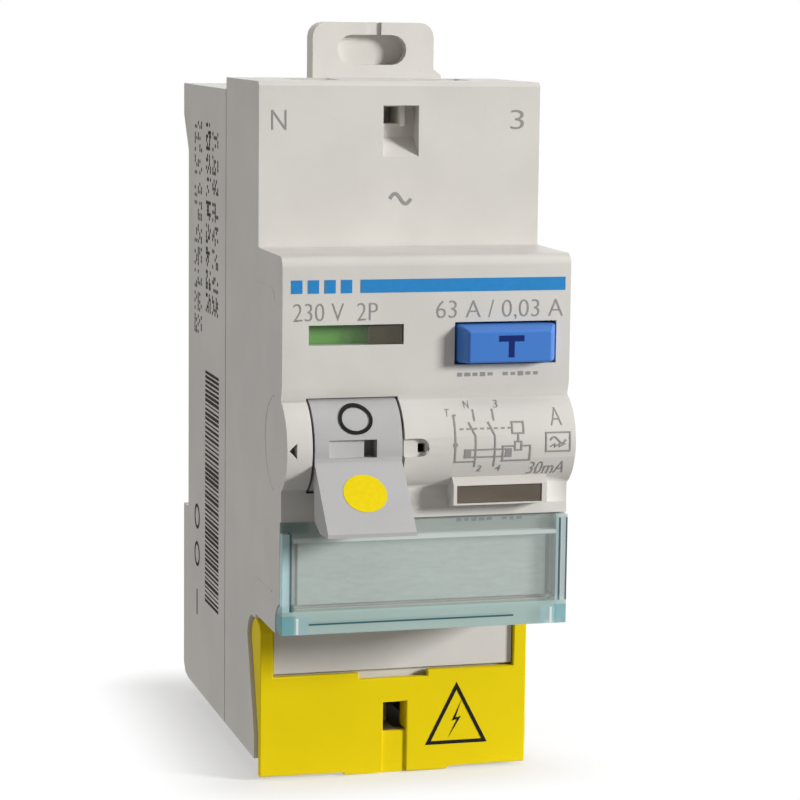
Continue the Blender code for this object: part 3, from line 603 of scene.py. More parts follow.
# ---------------------------------------------------------------- mesh work, in millimetres
def release(name: str, bm: bmesh.types.BMesh, finish: Finishes, weigh: bool = False) -> bpy.types.Object:
    """Turns a mesh under work into a finished piece in metres.

    Args:
        name: The piece's name.
        bm: The mesh, in millimetres; it is freed.
        finish: What the piece is dressed in.
        weigh: Whether large faces lead the shading, as on an eased edge.

    Returns:
        The piece, at the origin.
    """
    bmesh.ops.scale(bm, vec=(MM, MM, MM), verts=bm.verts)
    mesh = bpy.data.meshes.new(name)
    bm.to_mesh(mesh)
    bm.free()
    mesh.materials.append(finish.material())
    mesh.shade_smooth()
    mesh.set_sharp_from_angle(angle=math.radians(SMOOTH_BELOW))
    piece = bpy.data.objects.new(name, mesh)
    bpy.context.scene.collection.objects.link(piece)
    if weigh:
        modifier = piece.modifiers.new("weigh", "WEIGHTED_NORMAL")
        modifier.keep_sharp = True
        settle(piece)
    return piece


def settle(piece: bpy.types.Object) -> None:
    """Applies a piece's modifiers to its mesh.

    Args:
        piece: The piece, which keeps its mesh's name and loses its modifiers.
    """
    graph = bpy.context.evaluated_depsgraph_get()
    mesh = bpy.data.meshes.new_from_object(piece.evaluated_get(graph), preserve_all_data_layers=True,
                                           depsgraph=graph)
    piece.modifiers.clear()
    old = piece.data
    piece.data = mesh
    name = old.name
    bpy.data.meshes.remove(old)
    mesh.name = name


def hand_over(piece: bpy.types.Object, body: Body, slot: Slot, replaced: Iterable[str] = ()) -> None:
    """Puts a finished piece on its body and hides the nodes that it stands for.

    Args:
        piece: The piece.
        body: What it moves with.
        slot: Not used.
        replaced: The nodes that it stands for.
    """
    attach(piece, body.value)
    replaced = tuple(replaced)
    if replaced:
        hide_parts(*replaced)
    LOG.info("%s rides on %s", piece.name, body.value)


def node_mesh(node: str) -> bmesh.types.BMesh:
    """Copies a CAD node's mesh and makes its flat faces whole.

    Args:
        node: The node's name.

    Returns:
        The merged copy, in millimetres.
    """
    bm = bmesh.new()
    bm.from_mesh(FRAME["nodes"][node].data)
    bmesh.ops.scale(bm, vec=(1 / MM,) * 3, verts=bm.verts)
    bmesh.ops.remove_doubles(bm, verts=bm.verts, dist=MERGE_WITHIN)
    bmesh.ops.dissolve_degenerate(bm, edges=bm.edges, dist=MERGE_WITHIN)
    bmesh.ops.dissolve_limit(bm, angle_limit=math.radians(FLAT_WITHIN), verts=bm.verts, edges=bm.edges)
    return bm


def outer_edges(bm: bmesh.types.BMesh) -> list[bmesh.types.BMEdge]:
    """Finds the long, sharp and convex edges that look straight out of a mesh.

    Args:
        bm: The mesh, in millimetres.

    Returns:
        The edges.
    """
    bm.normal_update()
    tree = BVHTree.FromBMesh(bm)
    found = []
    for edge in bm.edges:
        if len(edge.link_faces) != 2 or edge.calc_length() < EASED_LENGTH or not edge.is_convex:
            continue
        if edge.calc_face_angle(0.0) < math.radians(EASED_ANGLE):
            continue
        out = sum((face.normal for face in edge.link_faces), Vector()).normalized()
        middle = (edge.verts[0].co + edge.verts[1].co) / 2
        if tree.ray_cast(middle + out * RAY_START, out)[0] is None:
            found.append(edge)
    return found


def stroke(bm: bmesh.types.BMesh, points: Sequence[Point2], width: float, closed: bool = False) -> None:
    """Adds a line of even width to a flat mesh, with mitred corners.

    Args:
        bm: The mesh, which holds (u, 0, v).
        points: The line's points.
        width: The line's width.
        closed: Whether the last point joins the first.
    """
    spots = [Vector(point) for point in points]
    count = len(spots)
    pairs = []
    for i, spot in enumerate(spots):
        legs = []
        if closed or i > 0:
            legs.append((spot - spots[i - 1]).normalized())
        if closed or i < count - 1:
            legs.append((spots[(i + 1) % count] - spot).normalized())
        sides = [Vector((-leg.y, leg.x)) for leg in legs]
        across = sum(sides, Vector((0.0, 0.0))).normalized()
        across *= width / 2 / max(across.dot(sides[0]), SHARPEST_MITRE)
        pairs.append([bm.verts.new((at.x, 0.0, at.y)) for at in (spot + across, spot - across)])
    for i in range(count if closed else count - 1):
        near, far = pairs[i], pairs[(i + 1) % count]
        bm.faces.new((near[0], near[1], far[1], far[0]))


def patch(bm: bmesh.types.BMesh, outline: Sequence[Point2]) -> None:
    """Adds a filled flat outline to a mesh that holds (u, 0, v)."""
    bm.faces.new([bm.verts.new((u, 0.0, v)) for u, v in outline])


def box(span: Point2, rise: Point2) -> list[Point2]:
    """Returns the corners of an upright rectangle."""
    return [(span[0], rise[0]), (span[1], rise[0]), (span[1], rise[1]), (span[0], rise[1])]


def arc(centre: Point2, radius: float, start: float, sweep: float, steps: int,
        flatten: float = 1.0) -> list[Point2]:
    """Returns points on an arc whose height may be flattened.

    Args:
        centre: The arc's centre.
        radius: Its radius.
        start: The first point's direction, in degrees.
        sweep: The angle it covers, in degrees; a full turn leaves out the last point.
        steps: How many parts it is cut into.
        flatten: The height's share of the width.

    Returns:
        The points.
    """
    count = steps if abs(sweep) >= 360 else steps + 1
    turns = (math.radians(start + sweep * i / steps) for i in range(count))
    return [(centre[0] + radius * math.cos(turn), centre[1] + radius * flatten * math.sin(turn))
            for turn in turns]


class Legend(NamedTuple):
    """Plain characters, the flat box that they fill, their slant, and a share added to each stroke."""

    text: str
    span: Point2
    rise: Point2
    lean: float = 0.0
    weight: float = 0.0


def lettering(bm: bmesh.types.BMesh, legend: Legend) -> None:
    """Adds plain characters that fill their box exactly.

    Args:
        bm: The mesh, which holds (u, 0, v).
        legend: The characters and their box.
    """
    curve = bpy.data.curves.new("lettering", "FONT")
    curve.body = legend.text
    curve.shear = legend.lean
    curve.offset = legend.weight
    curve.resolution_u = 4
    holder = bpy.data.objects.new("lettering", curve)
    bpy.context.scene.collection.objects.link(holder)
    graph = bpy.context.evaluated_depsgraph_get()
    mesh = bpy.data.meshes.new_from_object(holder.evaluated_get(graph), depsgraph=graph)
    low = [min(vertex.co[i] for vertex in mesh.vertices) for i in (0, 1)]
    high = [max(vertex.co[i] for vertex in mesh.vertices) for i in (0, 1)]
    ends = (legend.span, legend.rise)
    scale = [(end[1] - end[0]) / (high[i] - low[i]) for i, end in enumerate(ends)]
    spots = [bm.verts.new((ends[0][0] + (vertex.co.x - low[0]) * scale[0], 0.0,
                           ends[1][0] + (vertex.co.y - low[1]) * scale[1])) for vertex in mesh.vertices]
    for polygon in mesh.polygons:
        bm.faces.new([spots[i] for i in polygon.vertices])
    bpy.data.objects.remove(holder)
    bpy.data.curves.remove(curve)
    bpy.data.meshes.remove(mesh)


def lay_print(name: str, bm: bmesh.types.BMesh, ink: Finishes, surface: Surface, body: Body, slot: Slot,
              out: Point3 = FORWARD, step: float | None = None) -> None:
    """Lays a flat drawing on a surface as a thin closed layer, and hands it over.

    Args:
        name: The piece's name.
        bm: The drawing, which holds (u, 0, v).
        ink: What the piece is dressed in.
        surface: Gives the place of (u, v) on the surface.
        body: What the piece moves with.
        slot: The slot of the moulding under it.
        out: The direction away from the surface.
        step: The longest stretch of v in one face, or None on a flat surface.
    """
    if step:
        heights = [vertex.co.z for vertex in bm.verts]
        cuts = int((max(heights) - min(heights)) / step)
        for i in range(1, cuts + 1):
            geometry = [*bm.verts, *bm.edges, *bm.faces]
            bmesh.ops.bisect_plane(bm, geom=geometry, plane_co=(0, 0, min(heights) + i * step),
                                   plane_no=(0, 0, 1), dist=1e-5)
    away = Vector(out)
    for vertex in bm.verts:
        vertex.co = Vector(surface(vertex.co.x, vertex.co.z)) + away * PRINT_LIFT
    raised = bmesh.ops.extrude_face_region(bm, geom=list(bm.faces))["geom"]
    tops = [item for item in raised if isinstance(item, bmesh.types.BMVert)]
    bmesh.ops.translate(bm, verts=tops, vec=away * PRINT_DEPTH)
    bmesh.ops.recalc_face_normals(bm, faces=bm.faces)
    hand_over(release(name, bm, ink), body, slot)


def flat_front(y: float) -> Surface:
    """Returns a surface that faces forward at that depth."""
    return lambda u, v: (u, y, v)


def drum_front(u: float, v: float) -> Point3:
    """Returns the place of (u, v) on the front of the drum."""
    return (u, DRUM_Y - math.sqrt(max(DRUM_R ** 2 - v ** 2, 0.0)), v)


def left_side(u: float, v: float) -> Point3:
    """Returns the place of (depth, height) on the left side wall."""
    return (-HALF_WIDTH, u, v)


def tube(bm: bmesh.types.BMesh, points: Sequence[Point3], radius: float, sides: int) -> None:
    """Adds a round closed bar along points to a mesh.

    Args:
        bm: The mesh, in millimetres.
        points: The bar's middle line.
        radius: Its radius.
        sides: How many flat sides it has.
    """
    spots = [Vector(point) for point in points]
    rings = []
    for i, spot in enumerate(spots):
        along = (spots[min(i + 1, len(spots) - 1)] - spots[max(i - 1, 0)]).normalized()
        side = along.orthogonal().normalized() if not rings else side - along * side.dot(along)
        side.normalize()
        other = along.cross(side)
        rings.append([bm.verts.new(spot + radius * (math.cos(turn) * side + math.sin(turn) * other))
                      for turn in (2 * math.pi * s / sides for s in range(sides))])
    for near, far in zip(rings, rings[1:]):
        for s in range(sides):
            t = (s + 1) % sides
            bm.faces.new((near[s], near[t], far[t], far[s]))
    bm.faces.new(list(reversed(rings[0])))
    bm.faces.new(rings[-1])


# ---------------------------------------------------------------- Geometry Nodes
class GrowthTree(Graph):
    """A Geometry Nodes tree that grows a piece from named sizes."""

    def __init__(self, name: str, sizes: dict[str, float | int]) -> None:
        """Makes the tree.

        Args:
            name: The tree's name.
            sizes: Its inputs, by name, with their values.
        """
        tree = bpy.data.node_groups.new(name, "GeometryNodeTree")
        super().__init__(tree)
        tree.interface.new_socket("Geometry", in_out="OUTPUT", socket_type="NodeSocketGeometry")
        for key, value in sizes.items():
            kind = "NodeSocketInt" if isinstance(value, int) else "NodeSocketFloat"
            tree.interface.new_socket(key, in_out="INPUT", socket_type=kind)
        self.sizes = sizes
        self.entry = self.node("NodeGroupInput")

    def size(self, name: str) -> Wire:
        """Returns one of the named sizes."""
        return self.entry[name]

    def vector(self, x: Any = 0.0, y: Any = 0.0, z: Any = 0.0) -> Wire:
        """Returns a vector of numbers or wires."""
        return self.node("ShaderNodeCombineXYZ", {0: x, 1: y, 2: z})

    def random(self, low: Any, high: Any, seed: int) -> Wire:
        """Returns a random number for each element."""
        return self.node("FunctionNodeRandomValue", {"Min": low, "Max": high, "Seed": seed},
                         data_type="FLOAT")

    def grow(self, name: str, geometry: Wire, finish: Finishes) -> bpy.types.Object:
        """Closes the tree on its geometry and bakes it to a piece with a plain mesh.

        Args:
            name: The piece's name.
            geometry: The tree's last geometry.
            finish: What the piece is dressed in.

        Returns:
            The piece.
        """
        real = self.node("GeometryNodeRealizeInstances", {"Geometry": geometry})
        dressed = self.node("GeometryNodeSetMaterial", {"Geometry": real, "Material": finish.material()})
        self.node("NodeGroupOutput", {"Geometry": dressed})
        piece = bpy.data.objects.new(name, bpy.data.meshes.new(name))
        bpy.context.scene.collection.objects.link(piece)
        modifier = piece.modifiers.new("growth", "NODES")
        modifier.node_group = self.tree
        for item in self.tree.interface.items_tree:
            if item.in_out == "INPUT":
                modifier[item.identifier] = self.sizes[item.name]
        settle(piece)
        piece.data.shade_smooth()
        piece.data.set_sharp_from_angle(angle=math.radians(SMOOTH_BELOW))
        return piece


class Along(Enum):
    """The axis that a spring is wound along, with the turn in radians about X and Y that brings Z there."""

    X = ((1.0, 0.0, 0.0), 0.0, math.pi / 2)
    Y = ((0.0, 1.0, 0.0), -math.pi / 2, 0.0)
    Z = ((0.0, 0.0, 1.0), 0.0, 0.0)

    def turn(self) -> Matrix:
        """Returns the rotation that brings Z to this axis."""
        return Matrix.Rotation(self.value[1], 4, "X") @ Matrix.Rotation(self.value[2], 4, "Y")


class Press(NamedTuple):
    """A spring's joint, its travel, and the middle of the end that stays; nothing here shortens the spring.
    """

    joint: str
    travel: float
    held: Point3


@dataclass
class Spring:
    """A wound wire spring in the housing."""

    name: str
    centre: Point3
    radius: float
    wire: float
    length: float
    turns: int
    along: Along
    press: Press | None = None

    def build(self) -> None:
        """Grows the coil, turns it along its axis and puts it in place of its node."""
        tree = GrowthTree(f"{self.name}_growth", {
            "Radius": self.radius * MM, "Wire": self.wire * MM,
            "Length": (self.length - 2 * self.wire) * MM, "Turns": float(self.turns)})
        radius = tree.size("Radius")
        coil = tree.node("GeometryNodeCurveSpiral", {
            "Resolution": 32, "Rotations": tree.size("Turns"), "Start Radius": radius,
            "End Radius": radius, "Height": tree.size("Length")})
        profile = tree.node("GeometryNodeCurvePrimitiveCircle", {
            "Resolution": 10, "Radius": tree.size("Wire")})
        bar = tree.node("GeometryNodeCurveToMesh", {
            "Curve": coil, "Profile Curve": profile, "Fill Caps": True})
        piece = tree.grow(f"{self.name}_coil", bar, Finishes.SPRING)
        place = Matrix.Translation(Vector(self.centre) * MM)
        rise = Matrix.Translation((0, 0, (self.wire - self.length / 2) * MM))
        piece.data.transform(place @ self.along.turn() @ rise)
        hand_over(piece, Body.HOUSING, Slot.SPRING, (self.name,))
        if self.press is not None:
            self.along.value[0]
            tuple(Vector(self.press.held) * MM)
            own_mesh(piece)


@dataclass
class Barcode:
    """Plain bars of chance widths, printed up the left side wall."""

    top: float = 4.1
    bottom: float = -27.8
    front: float = -21.0
    back: float = -12.1
    pitch: float = 0.62
    share: Point2 = (0.28, 0.8)
    seed: int = 7

    def build(self) -> None:
        """Grows the bars and puts them on the housing."""
        count = int((self.top - self.bottom) / self.pitch)
        tree = GrowthTree("barcode_growth", {"Count": count, "Pitch": self.pitch * MM,
                                             "Length": (self.back - self.front) * MM,
                                             "Depth": PRINT_DEPTH * MM})
        line = tree.node("GeometryNodeMeshLine", {
            "Count": tree.size("Count"), "Offset": tree.vector(z=tree.size("Pitch")),
            "Start Location": ((-HALF_WIDTH - PRINT_LIFT) * MM, (self.front + self.back) / 2 * MM,
                               self.bottom * MM)})
        bar = tree.node("GeometryNodeMeshCube", {
            "Size": tree.vector(tree.size("Depth"), tree.size("Length"), tree.size("Pitch"))})
        bars = tree.node("GeometryNodeInstanceOnPoints", {
            "Points": line, "Instance": bar,
            "Scale": tree.vector(1.0, 1.0, tree.random(*self.share, self.seed))})
        hand_over(tree.grow("side_barcode", bars, Finishes.SIDE_INK), Body.HOUSING, Slot.SHELL)


@dataclass
class DotRow:
    """A row of dot-matrix blocks with chance dots, sprayed up the left side wall."""

    name: str
    front: float
    back: float
    top: float = 36.0
    bottom: float = 8.0
    advance: float = 0.5
    rows: int = 5
    block: int = 6
    gap: float = 1.5
    dot: float = 0.29
    chance: float = 0.46
    seed: int = 1

    def build(self) -> None:
        """Grows the dots and puts them on the housing."""
        columns = int((self.top - self.bottom) / self.advance)
        tree = GrowthTree(f"{self.name}_growth", {
            "Rise": (self.top - self.bottom) * MM, "Width": (self.back - self.front) * MM,
            "Columns": columns, "Rows": self.rows, "Dot": self.dot * MM})
        grid = tree.node("GeometryNodeMeshGrid", {
            "Size X": tree.size("Rise"), "Size Y": tree.size("Width"),
            "Vertices X": tree.size("Columns"), "Vertices Y": tree.size("Rows")})
        column = (tree.node("GeometryNodeInputIndex") / self.rows).math("FLOOR")
        within = column.math("FLOORED_MODULO", self.block) < self.block - self.gap
        inked = within * (tree.random(0.0, 1.0, self.seed) < self.chance)
        dot = tree.node("GeometryNodeMeshCylinder", {
            "Vertices": 8, "Radius": tree.size("Dot"), "Depth": PRINT_DEPTH * MM})
        dots = tree.node("GeometryNodeInstanceOnPoints", {
            "Points": grid, "Instance": dot, "Selection": inked})
        stood = tree.node("GeometryNodeTransform", {
            "Geometry": dots, "Rotation": (0.0, -math.pi / 2, 0.0),
            "Translation": ((-HALF_WIDTH - PRINT_LIFT) * MM, (self.front + self.back) / 2 * MM,
                            (self.top + self.bottom) / 2 * MM)})
        hand_over(tree.grow(self.name, stood, Finishes.SIDE_INK), Body.HOUSING, Slot.SHELL)


@dataclass
class DashRow:
    """A line of small dashes where the real piece has a line of small words."""

    name: str
    span: Point2
    rise: Point2
    y: float
    pitch: float = 0.95
    word: float = 6.0
    wide: Point2 = (0.45, 0.8)
    tall: Point2 = (0.25, 0.4)
    seed: int = 3

    def build(self) -> None:
        """Grows the dashes and puts them on the housing."""
        count = int((self.span[1] - self.span[0]) / self.pitch)
        tree = GrowthTree(f"{self.name}_growth", {"Count": count, "Pitch": self.pitch * MM,
                                                  "Thick": (self.rise[1] - self.rise[0]) * MM})
        line = tree.node("GeometryNodeMeshLine", {
            "Count": tree.size("Count"), "Offset": tree.vector(x=tree.size("Pitch")),
            "Start Location": ((self.span[0] + self.pitch / 2) * MM, (self.y - PRINT_LIFT) * MM,
                               sum(self.rise) / 2 * MM)})
        dash = tree.node("GeometryNodeMeshCube", {
            "Size": tree.vector(tree.size("Pitch"), PRINT_DEPTH * MM, tree.size("Thick"))})
        letter = tree.node("GeometryNodeInputIndex").math("FLOORED_MODULO", self.word)
        dashes = tree.node("GeometryNodeInstanceOnPoints", {
            "Points": line, "Instance": dash, "Selection": letter < self.word - 1.0,
            "Scale": tree.vector(tree.random(*self.wide, self.seed), 1.0,
                                 tree.random(*self.tall, self.seed + 1))})
        hand_over(tree.grow(self.name, dashes, Finishes.GREY_INK), Body.HOUSING, Slot.SHELL)


# ---------------------------------------------------------------- the device
@dataclass
class EasedNode:
    """A node that keeps its shape and gets rounded outer edges, but for those in one plane square to Y."""

    node: str
    finish: Finishes
    slot: Slot
    body: Body
    width: float
    segments: int
    crisp_y: float | None = None
    crisp_within: float = 0.1

    def build(self) -> None:
        """Makes the piece in the node's place."""
        bm = node_mesh(self.node)
        edges = outer_edges(bm)
        if self.crisp_y is not None:
            edges = [edge for edge in edges
                     if max(abs(vert.co.y - self.crisp_y) for vert in edge.verts) > self.crisp_within]
        bmesh.ops.bevel(bm, geom=edges, offset=self.width, offset_type="OFFSET", segments=self.segments,
                        profile=0.5, affect="EDGES", clamp_overlap=True, loop_slide=True)
        piece = release(f"{self.node}_eased", bm, self.finish, weigh=True)
        hand_over(piece, self.body, self.slot, (self.node,))


@dataclass
class Housing:
    """The two halves of the housing, their rivets and the fine lines moulded in the side walls."""

    ease: float = 0.3
    rivet_ease: float = 0.25
    parting_y: float = -25.0
    line_radius: float = 0.09
    hub: float = 5.8
    hub_start: float = -78.0
    upper_rib: tuple[Point2, ...] = ((-44.6, 18.5), (-50.5, 18.45), (-52.6, 18.3), (-53.4, 17.7),
                                     (-53.5, 17.0))
    lower_rib: tuple[Point2, ...] = ((-44.6, -18.2), (-50.5, -18.2), (-53.0, -18.15))

    def build(self) -> None:
        """Builds the housing."""
        for node in ("front_cover", "rear_base"):
            EasedNode(node, Finishes.SHELL, Slot.SHELL, Body.HOUSING, self.ease, 3, self.parting_y).build()
        for index in range(1, 5):
            rivet = f"housing_rivet_{index}"
            EasedNode(rivet, Finishes.ZINC, Slot.ZINC, Body.HOUSING, self.rivet_ease, 3).build()
        self.side_lines()

    def side_lines(self) -> None:
        """Moulds the arc round the drum's end and the two short ribs in each side wall."""
        bm = bmesh.new()
        ring = arc((DRUM_Y, 0.0), self.hub, self.hub_start, -2 * self.hub_start, 40)
        for x in (-HALF_WIDTH, HALF_WIDTH):
            for run in (ring, self.upper_rib, self.lower_rib):
                tube(bm, [(x, y, z) for y, z in run], self.line_radius, 6)
        hand_over(release("side_wall_lines", bm, Finishes.SHELL), Body.HOUSING, Slot.SHELL)


@dataclass
class FrontPrint:
    """The marks printed on the front of the housing: plain letters, ratings, a stripe and a diagram."""

    stripe: tuple[Point2, Point2] = ((-8.33, 17.05), (18.17, 19.75))
    block_left: float = -16.7
    block_pitch: float = 2.0
    block_width: float = 1.35
    wave_at: Point2 = (-1.35, 28.3)
    wave_rise: float = 0.62
    wave_line: float = 0.42
    terminals: tuple[Legend, ...] = (
        Legend("N", (-16.2, -14.35), (36.7, 39.1), weight=-0.012),
        Legend("3", (14.0, 15.7), (36.8, 39.15), weight=-0.012))
    rated: tuple[Legend, ...] = (
        Legend("230 V  2P", (-16.4, -6.2), (14.9, 17.0), weight=-0.014),
        Legend("63 A / 0,03 A", (1.0, 16.8), (14.7, 17.1), weight=-0.014))

    def build(self) -> None:
        """Builds every print on the front."""
        self.shoulder_marks()
        self.stripe_and_blocks()
        self.ratings()
        Diagram().build()
        DashRow("button_caption", (3.5, 15.2), (7.5, 8.9), NOSE_Y, seed=5).build()
        DashRow("fault_caption", (3.9, 13.1), (-10.1, -8.95), -56.9, seed=11).build()

    def shoulder_marks(self) -> None:
        """Prints the terminal marks and the current's wave on the upper block."""
        bm = bmesh.new()
        for legend in self.terminals:
            lettering(bm, legend)
        left, middle = self.wave_at
        stroke(bm, [(left + 0.1 * i, middle + self.wave_rise * math.sin(2 * math.pi * i / 27))
                    for i in range(28)], self.wave_line)
        lay_print("shoulder_marks", bm, Finishes.GREY_INK, flat_front(SHOULDER_Y), Body.HOUSING, Slot.SHELL)

    def stripe_and_blocks(self) -> None:
        """Prints the blue stripe, with plain blocks ahead of it."""
        span, rise = self.stripe
        bm = bmesh.new()
        patch(bm, box(span, rise))
        for index in range(4):
            near = self.block_left + self.block_pitch * index
            patch(bm, box((near, near + self.block_width), rise))
        lay_print("blue_stripe", bm, Finishes.BLUE_INK, flat_front(NOSE_Y), Body.HOUSING, Slot.SHELL)

    def ratings(self) -> None:
        """Prints the plain ratings under the stripe."""
        bm = bmesh.new()
        for legend in self.rated:
            lettering(bm, legend)
        lay_print("ratings", bm, Finishes.GREY_INK, flat_front(NOSE_Y), Body.HOUSING, Slot.SHELL)


@dataclass
class Diagram:
    """A plain circuit diagram and three marks, printed on the drum's housing."""

    line: float = 0.2
    poles: Point2 = (5.2, 7.6)
    knot: Point2 = (2.7, 0.2)
    link_left: float = 3.3
    link_pitch: float = 0.85
    link_dash: float = 0.45
    link_height: float = 2.05
    bar_ends: Point2 = (4.0, 8.9)
    lines: tuple[tuple[Point2, ...], ...] = (
        ((3.0, 3.6), (2.7, 3.6), (2.7, -1.9), (5.2, -1.9)),
        ((10.5, 1.4), (10.5, 0.4)),
        ((10.9, -0.1), (12.0, -0.1), (12.0, -1.9), (8.6, -1.9), (8.6, -0.1), (10.1, -0.1)))
    boxes: tuple[tuple[Point2, Point2], ...] = (
        ((9.8, 11.2), (1.4, 2.7)), ((10.1, 10.9), (-0.6, 0.4)), ((3.9, 9.6), (-1.35, -0.45)),
        ((14.0, 17.0), (-0.9, 1.35)))
    pulses: tuple[Point2, ...] = ((14.5, -0.35), (15.1, 0.0), (15.1, -0.35), (15.7, 0.0), (15.7, -0.35),
                                  (16.4, 0.0))
    pulse_line: float = 0.14
    legends: tuple[Legend, ...] = (
        Legend("N", (4.2, 4.9), (4.3, 5.1), 0.15, -0.005),
        Legend("3", (7.9, 8.5), (4.3, 5.1), 0.15, -0.005),
        Legend("T", (1.7, 2.3), (3.5, 4.3), 0.15, -0.005),
        Legend("2", (5.5, 6.1), (-3.2, -2.4), 0.15, -0.005),
        Legend("4", (7.9, 8.5), (-3.2, -2.4), 0.15, -0.005),
        Legend("A", (14.7, 16.1), (2.2, 4.2), 0.0, -0.016),
        Legend("30mA", (11.9, 16.5), (-3.75, -2.15), 0.25, -0.012))

    def build(self) -> None:
        """Prints the diagram."""
        bm = bmesh.new()
        thin = self.line
        for pole in self.poles:
            stroke(bm, [(pole, 4.2), (pole, 2.9)], thin)
            stroke(bm, [(pole - 0.75, 2.8), (pole, 1.2), (pole, -2.6)], thin)
        for line in self.lines:
            stroke(bm, line, thin)
        patch(bm, arc(self.knot, 0.3, 0, 360, 8))
        for index in range(8):
            left = self.link_left + self.link_pitch * index
            stroke(bm, [(left, self.link_height), (left + self.link_dash, self.link_height)], thin)
        for span, rise in self.boxes:
            stroke(bm, box(span, rise), thin, closed=True)
        for left in self.bar_ends:
            patch(bm, box((left, left + 0.65), (-1.3, -0.5)))
        for legend in self.legends:
            lettering(bm, legend)
        stroke(bm, [(14.5 + 0.1 * i, 0.45 + 0.38 * math.sin(2 * math.pi * i / 20)) for i in range(21)], thin)
        stroke(bm, self.pulses, self.pulse_line)
        lay_print("drum_diagram", bm, Finishes.GREY_INK, drum_front, Body.HOUSING, Slot.SHELL, step=0.45)


@dataclass
class SidePrint:
    """The marks on the left side wall: bars, chance dot-matrix blocks, two plain rings and a stroke."""

    middle: float = -6.6
    line: float = 0.45
    ring_radius: float = 1.5
    ring_heights: Point2 = (-17.4, -22.6)
    stroke_ends: Point2 = (-27.5, -31.0)

    def build(self) -> None:
        """Builds every print on the side."""
        Barcode().build()
        DotRow("side_dots_back", -9.2, -4.9, bottom=8.0, seed=21).build()
        DotRow("side_dots_middle", -15.2, -12.6, bottom=11.5, seed=22).build()
        DotRow("side_dots_front", -20.0, -16.8, bottom=11.5, seed=23).build()
        bm = bmesh.new()
        for height in self.ring_heights:
            stroke(bm, arc((self.middle, height), self.ring_radius, 0, 360, 28), self.line, closed=True)
        stroke(bm, [(self.middle, height) for height in self.stroke_ends], self.line)
        lay_print("side_rings", bm, Finishes.SIDE_INK, left_side, Body.HOUSING, Slot.SHELL, LEFTWARD)


@dataclass
class Toggle:
    """The toggle with its printed ring and its round yellow spot."""

    bend: Point2 = (-60.46, -1.5)
    lip: Point2 = (-66.9, -8.35)
    centre_x: float = -9.3
    ring_height: float = 3.45
    ring: Point2 = (1.86, 1.482)
    ring_line: float = 0.42
    ring_out: Point3 = (0.0, -0.75, 0.6)
    spot_aside: float = 0.25
    spot_radius: float = 2.62
    spot_at: float = 0.47

    def build(self) -> None:
        """Builds the toggle."""
        EasedNode("toggle", Finishes.TOGGLE, Slot.TOGGLE, Body.TOGGLE, 0.22, 3).build()
        self.off_ring()
        self.spot()

    def off_ring(self) -> None:
        """Prints the ring that shows the off position on the toggle's drum."""
        bm = bmesh.new()
        wide, tall = self.ring
        ring = arc((self.centre_x, self.ring_height), wide, 0, 360, 44, tall / wide)
        stroke(bm, ring, self.ring_line, closed=True)
        lay_print("toggle_off_ring", bm, Finishes.BLACK_INK, drum_front, Body.TOGGLE, Slot.TOGGLE,
                  self.ring_out, 0.3)

    def spot(self) -> None:
        """Prints the yellow spot on the lever's slanted face."""
        slope = Vector((self.lip[0] - self.bend[0], self.lip[1] - self.bend[1]))
        centre = Vector(self.bend) + slope * self.spot_at
        along = slope.normalized()
        out = (0.0, -abs(along.y), abs(along.x))
        bm = bmesh.new()
        patch(bm, arc((self.centre_x + self.spot_aside, 0.0), self.spot_radius, 0, 360, 48))
        lay_print("toggle_spot", bm, Finishes.YELLOW_INK,
                  lambda u, v: (u, centre.x - along.x * v, centre.y - along.y * v),
                  Body.TOGGLE, Slot.TOGGLE, out)


@dataclass
class TestButton:
    """The test button with its letter."""

    face_y: float = -59.6
    mark: tuple[Point2, ...] = ((8.24, 12.3), (9.47, 12.3), (9.47, 10.4), (10.17, 10.4), (10.17, 12.3),
                                (11.37, 12.3), (11.37, 13.02), (8.24, 13.02))

    def build(self) -> None:
        """Builds the button and its mark."""
        EasedNode("test_button", Finishes.BLUE, Slot.BLUE, Body.BUTTON, 0.28, 3).build()
        bm = bmesh.new()
        patch(bm, self.mark)
        lay_print("test_button_mark", bm, Finishes.MARK_INK, flat_front(self.face_y), Body.BUTTON, Slot.BLUE)


@dataclass
class TerminalCover:
    """The hinged yellow cover with a plain triangle and a zigzag."""

    sign: tuple[Point2, ...] = ((4.45, -40.5), (11.85, -40.5), (8.12, -33.25))
    line: float = 0.46
    zigzag: tuple[Point2, ...] = ((8.75, -35.2), (7.55, -37.75), (8.2, -37.6), (7.1, -39.9), (8.75, -37.2),
                                  (8.05, -37.35))

    def build(self) -> None:
        """Builds the cover and its sign."""
        EasedNode("terminal_cover", Finishes.YELLOW, Slot.YELLOW, Body.COVER, 0.18, 2).build()
        bm = bmesh.new()
        stroke(bm, self.sign, self.line, closed=True)
        patch(bm, self.zigzag)
        lay_print("terminal_cover_sign", bm, Finishes.BLACK_INK, flat_front(SHOULDER_Y), Body.COVER,
                  Slot.YELLOW)


@dataclass
class LabelFlap:
    """The clear flap and the card behind it."""

    def build(self) -> None:
        """Builds the flap."""
        EasedNode("label_flap", Finishes.AQUA, Slot.AQUA, Body.FLAP, 0.22, 3).build()
        EasedNode("label_card", Finishes.CARD, Slot.PAPER, Body.HOUSING, 0.05, 1).build()


@dataclass
class RailClip:
    """The sliding rail clip and its spring."""

    def build(self) -> None:
        """Builds the clip."""
        EasedNode("rail_clip", Finishes.CLIP, Slot.SHELL, Body.CLIP, 0.45, 4).build()
        Spring("rail_clip_spring", (8.0, -2.1, 31.4), 1.35, 0.25, 10.5, 8, Along.Z,
               Press("rail_clip_slide", 3.5, (8.0, -2.1, 36.65))).build()


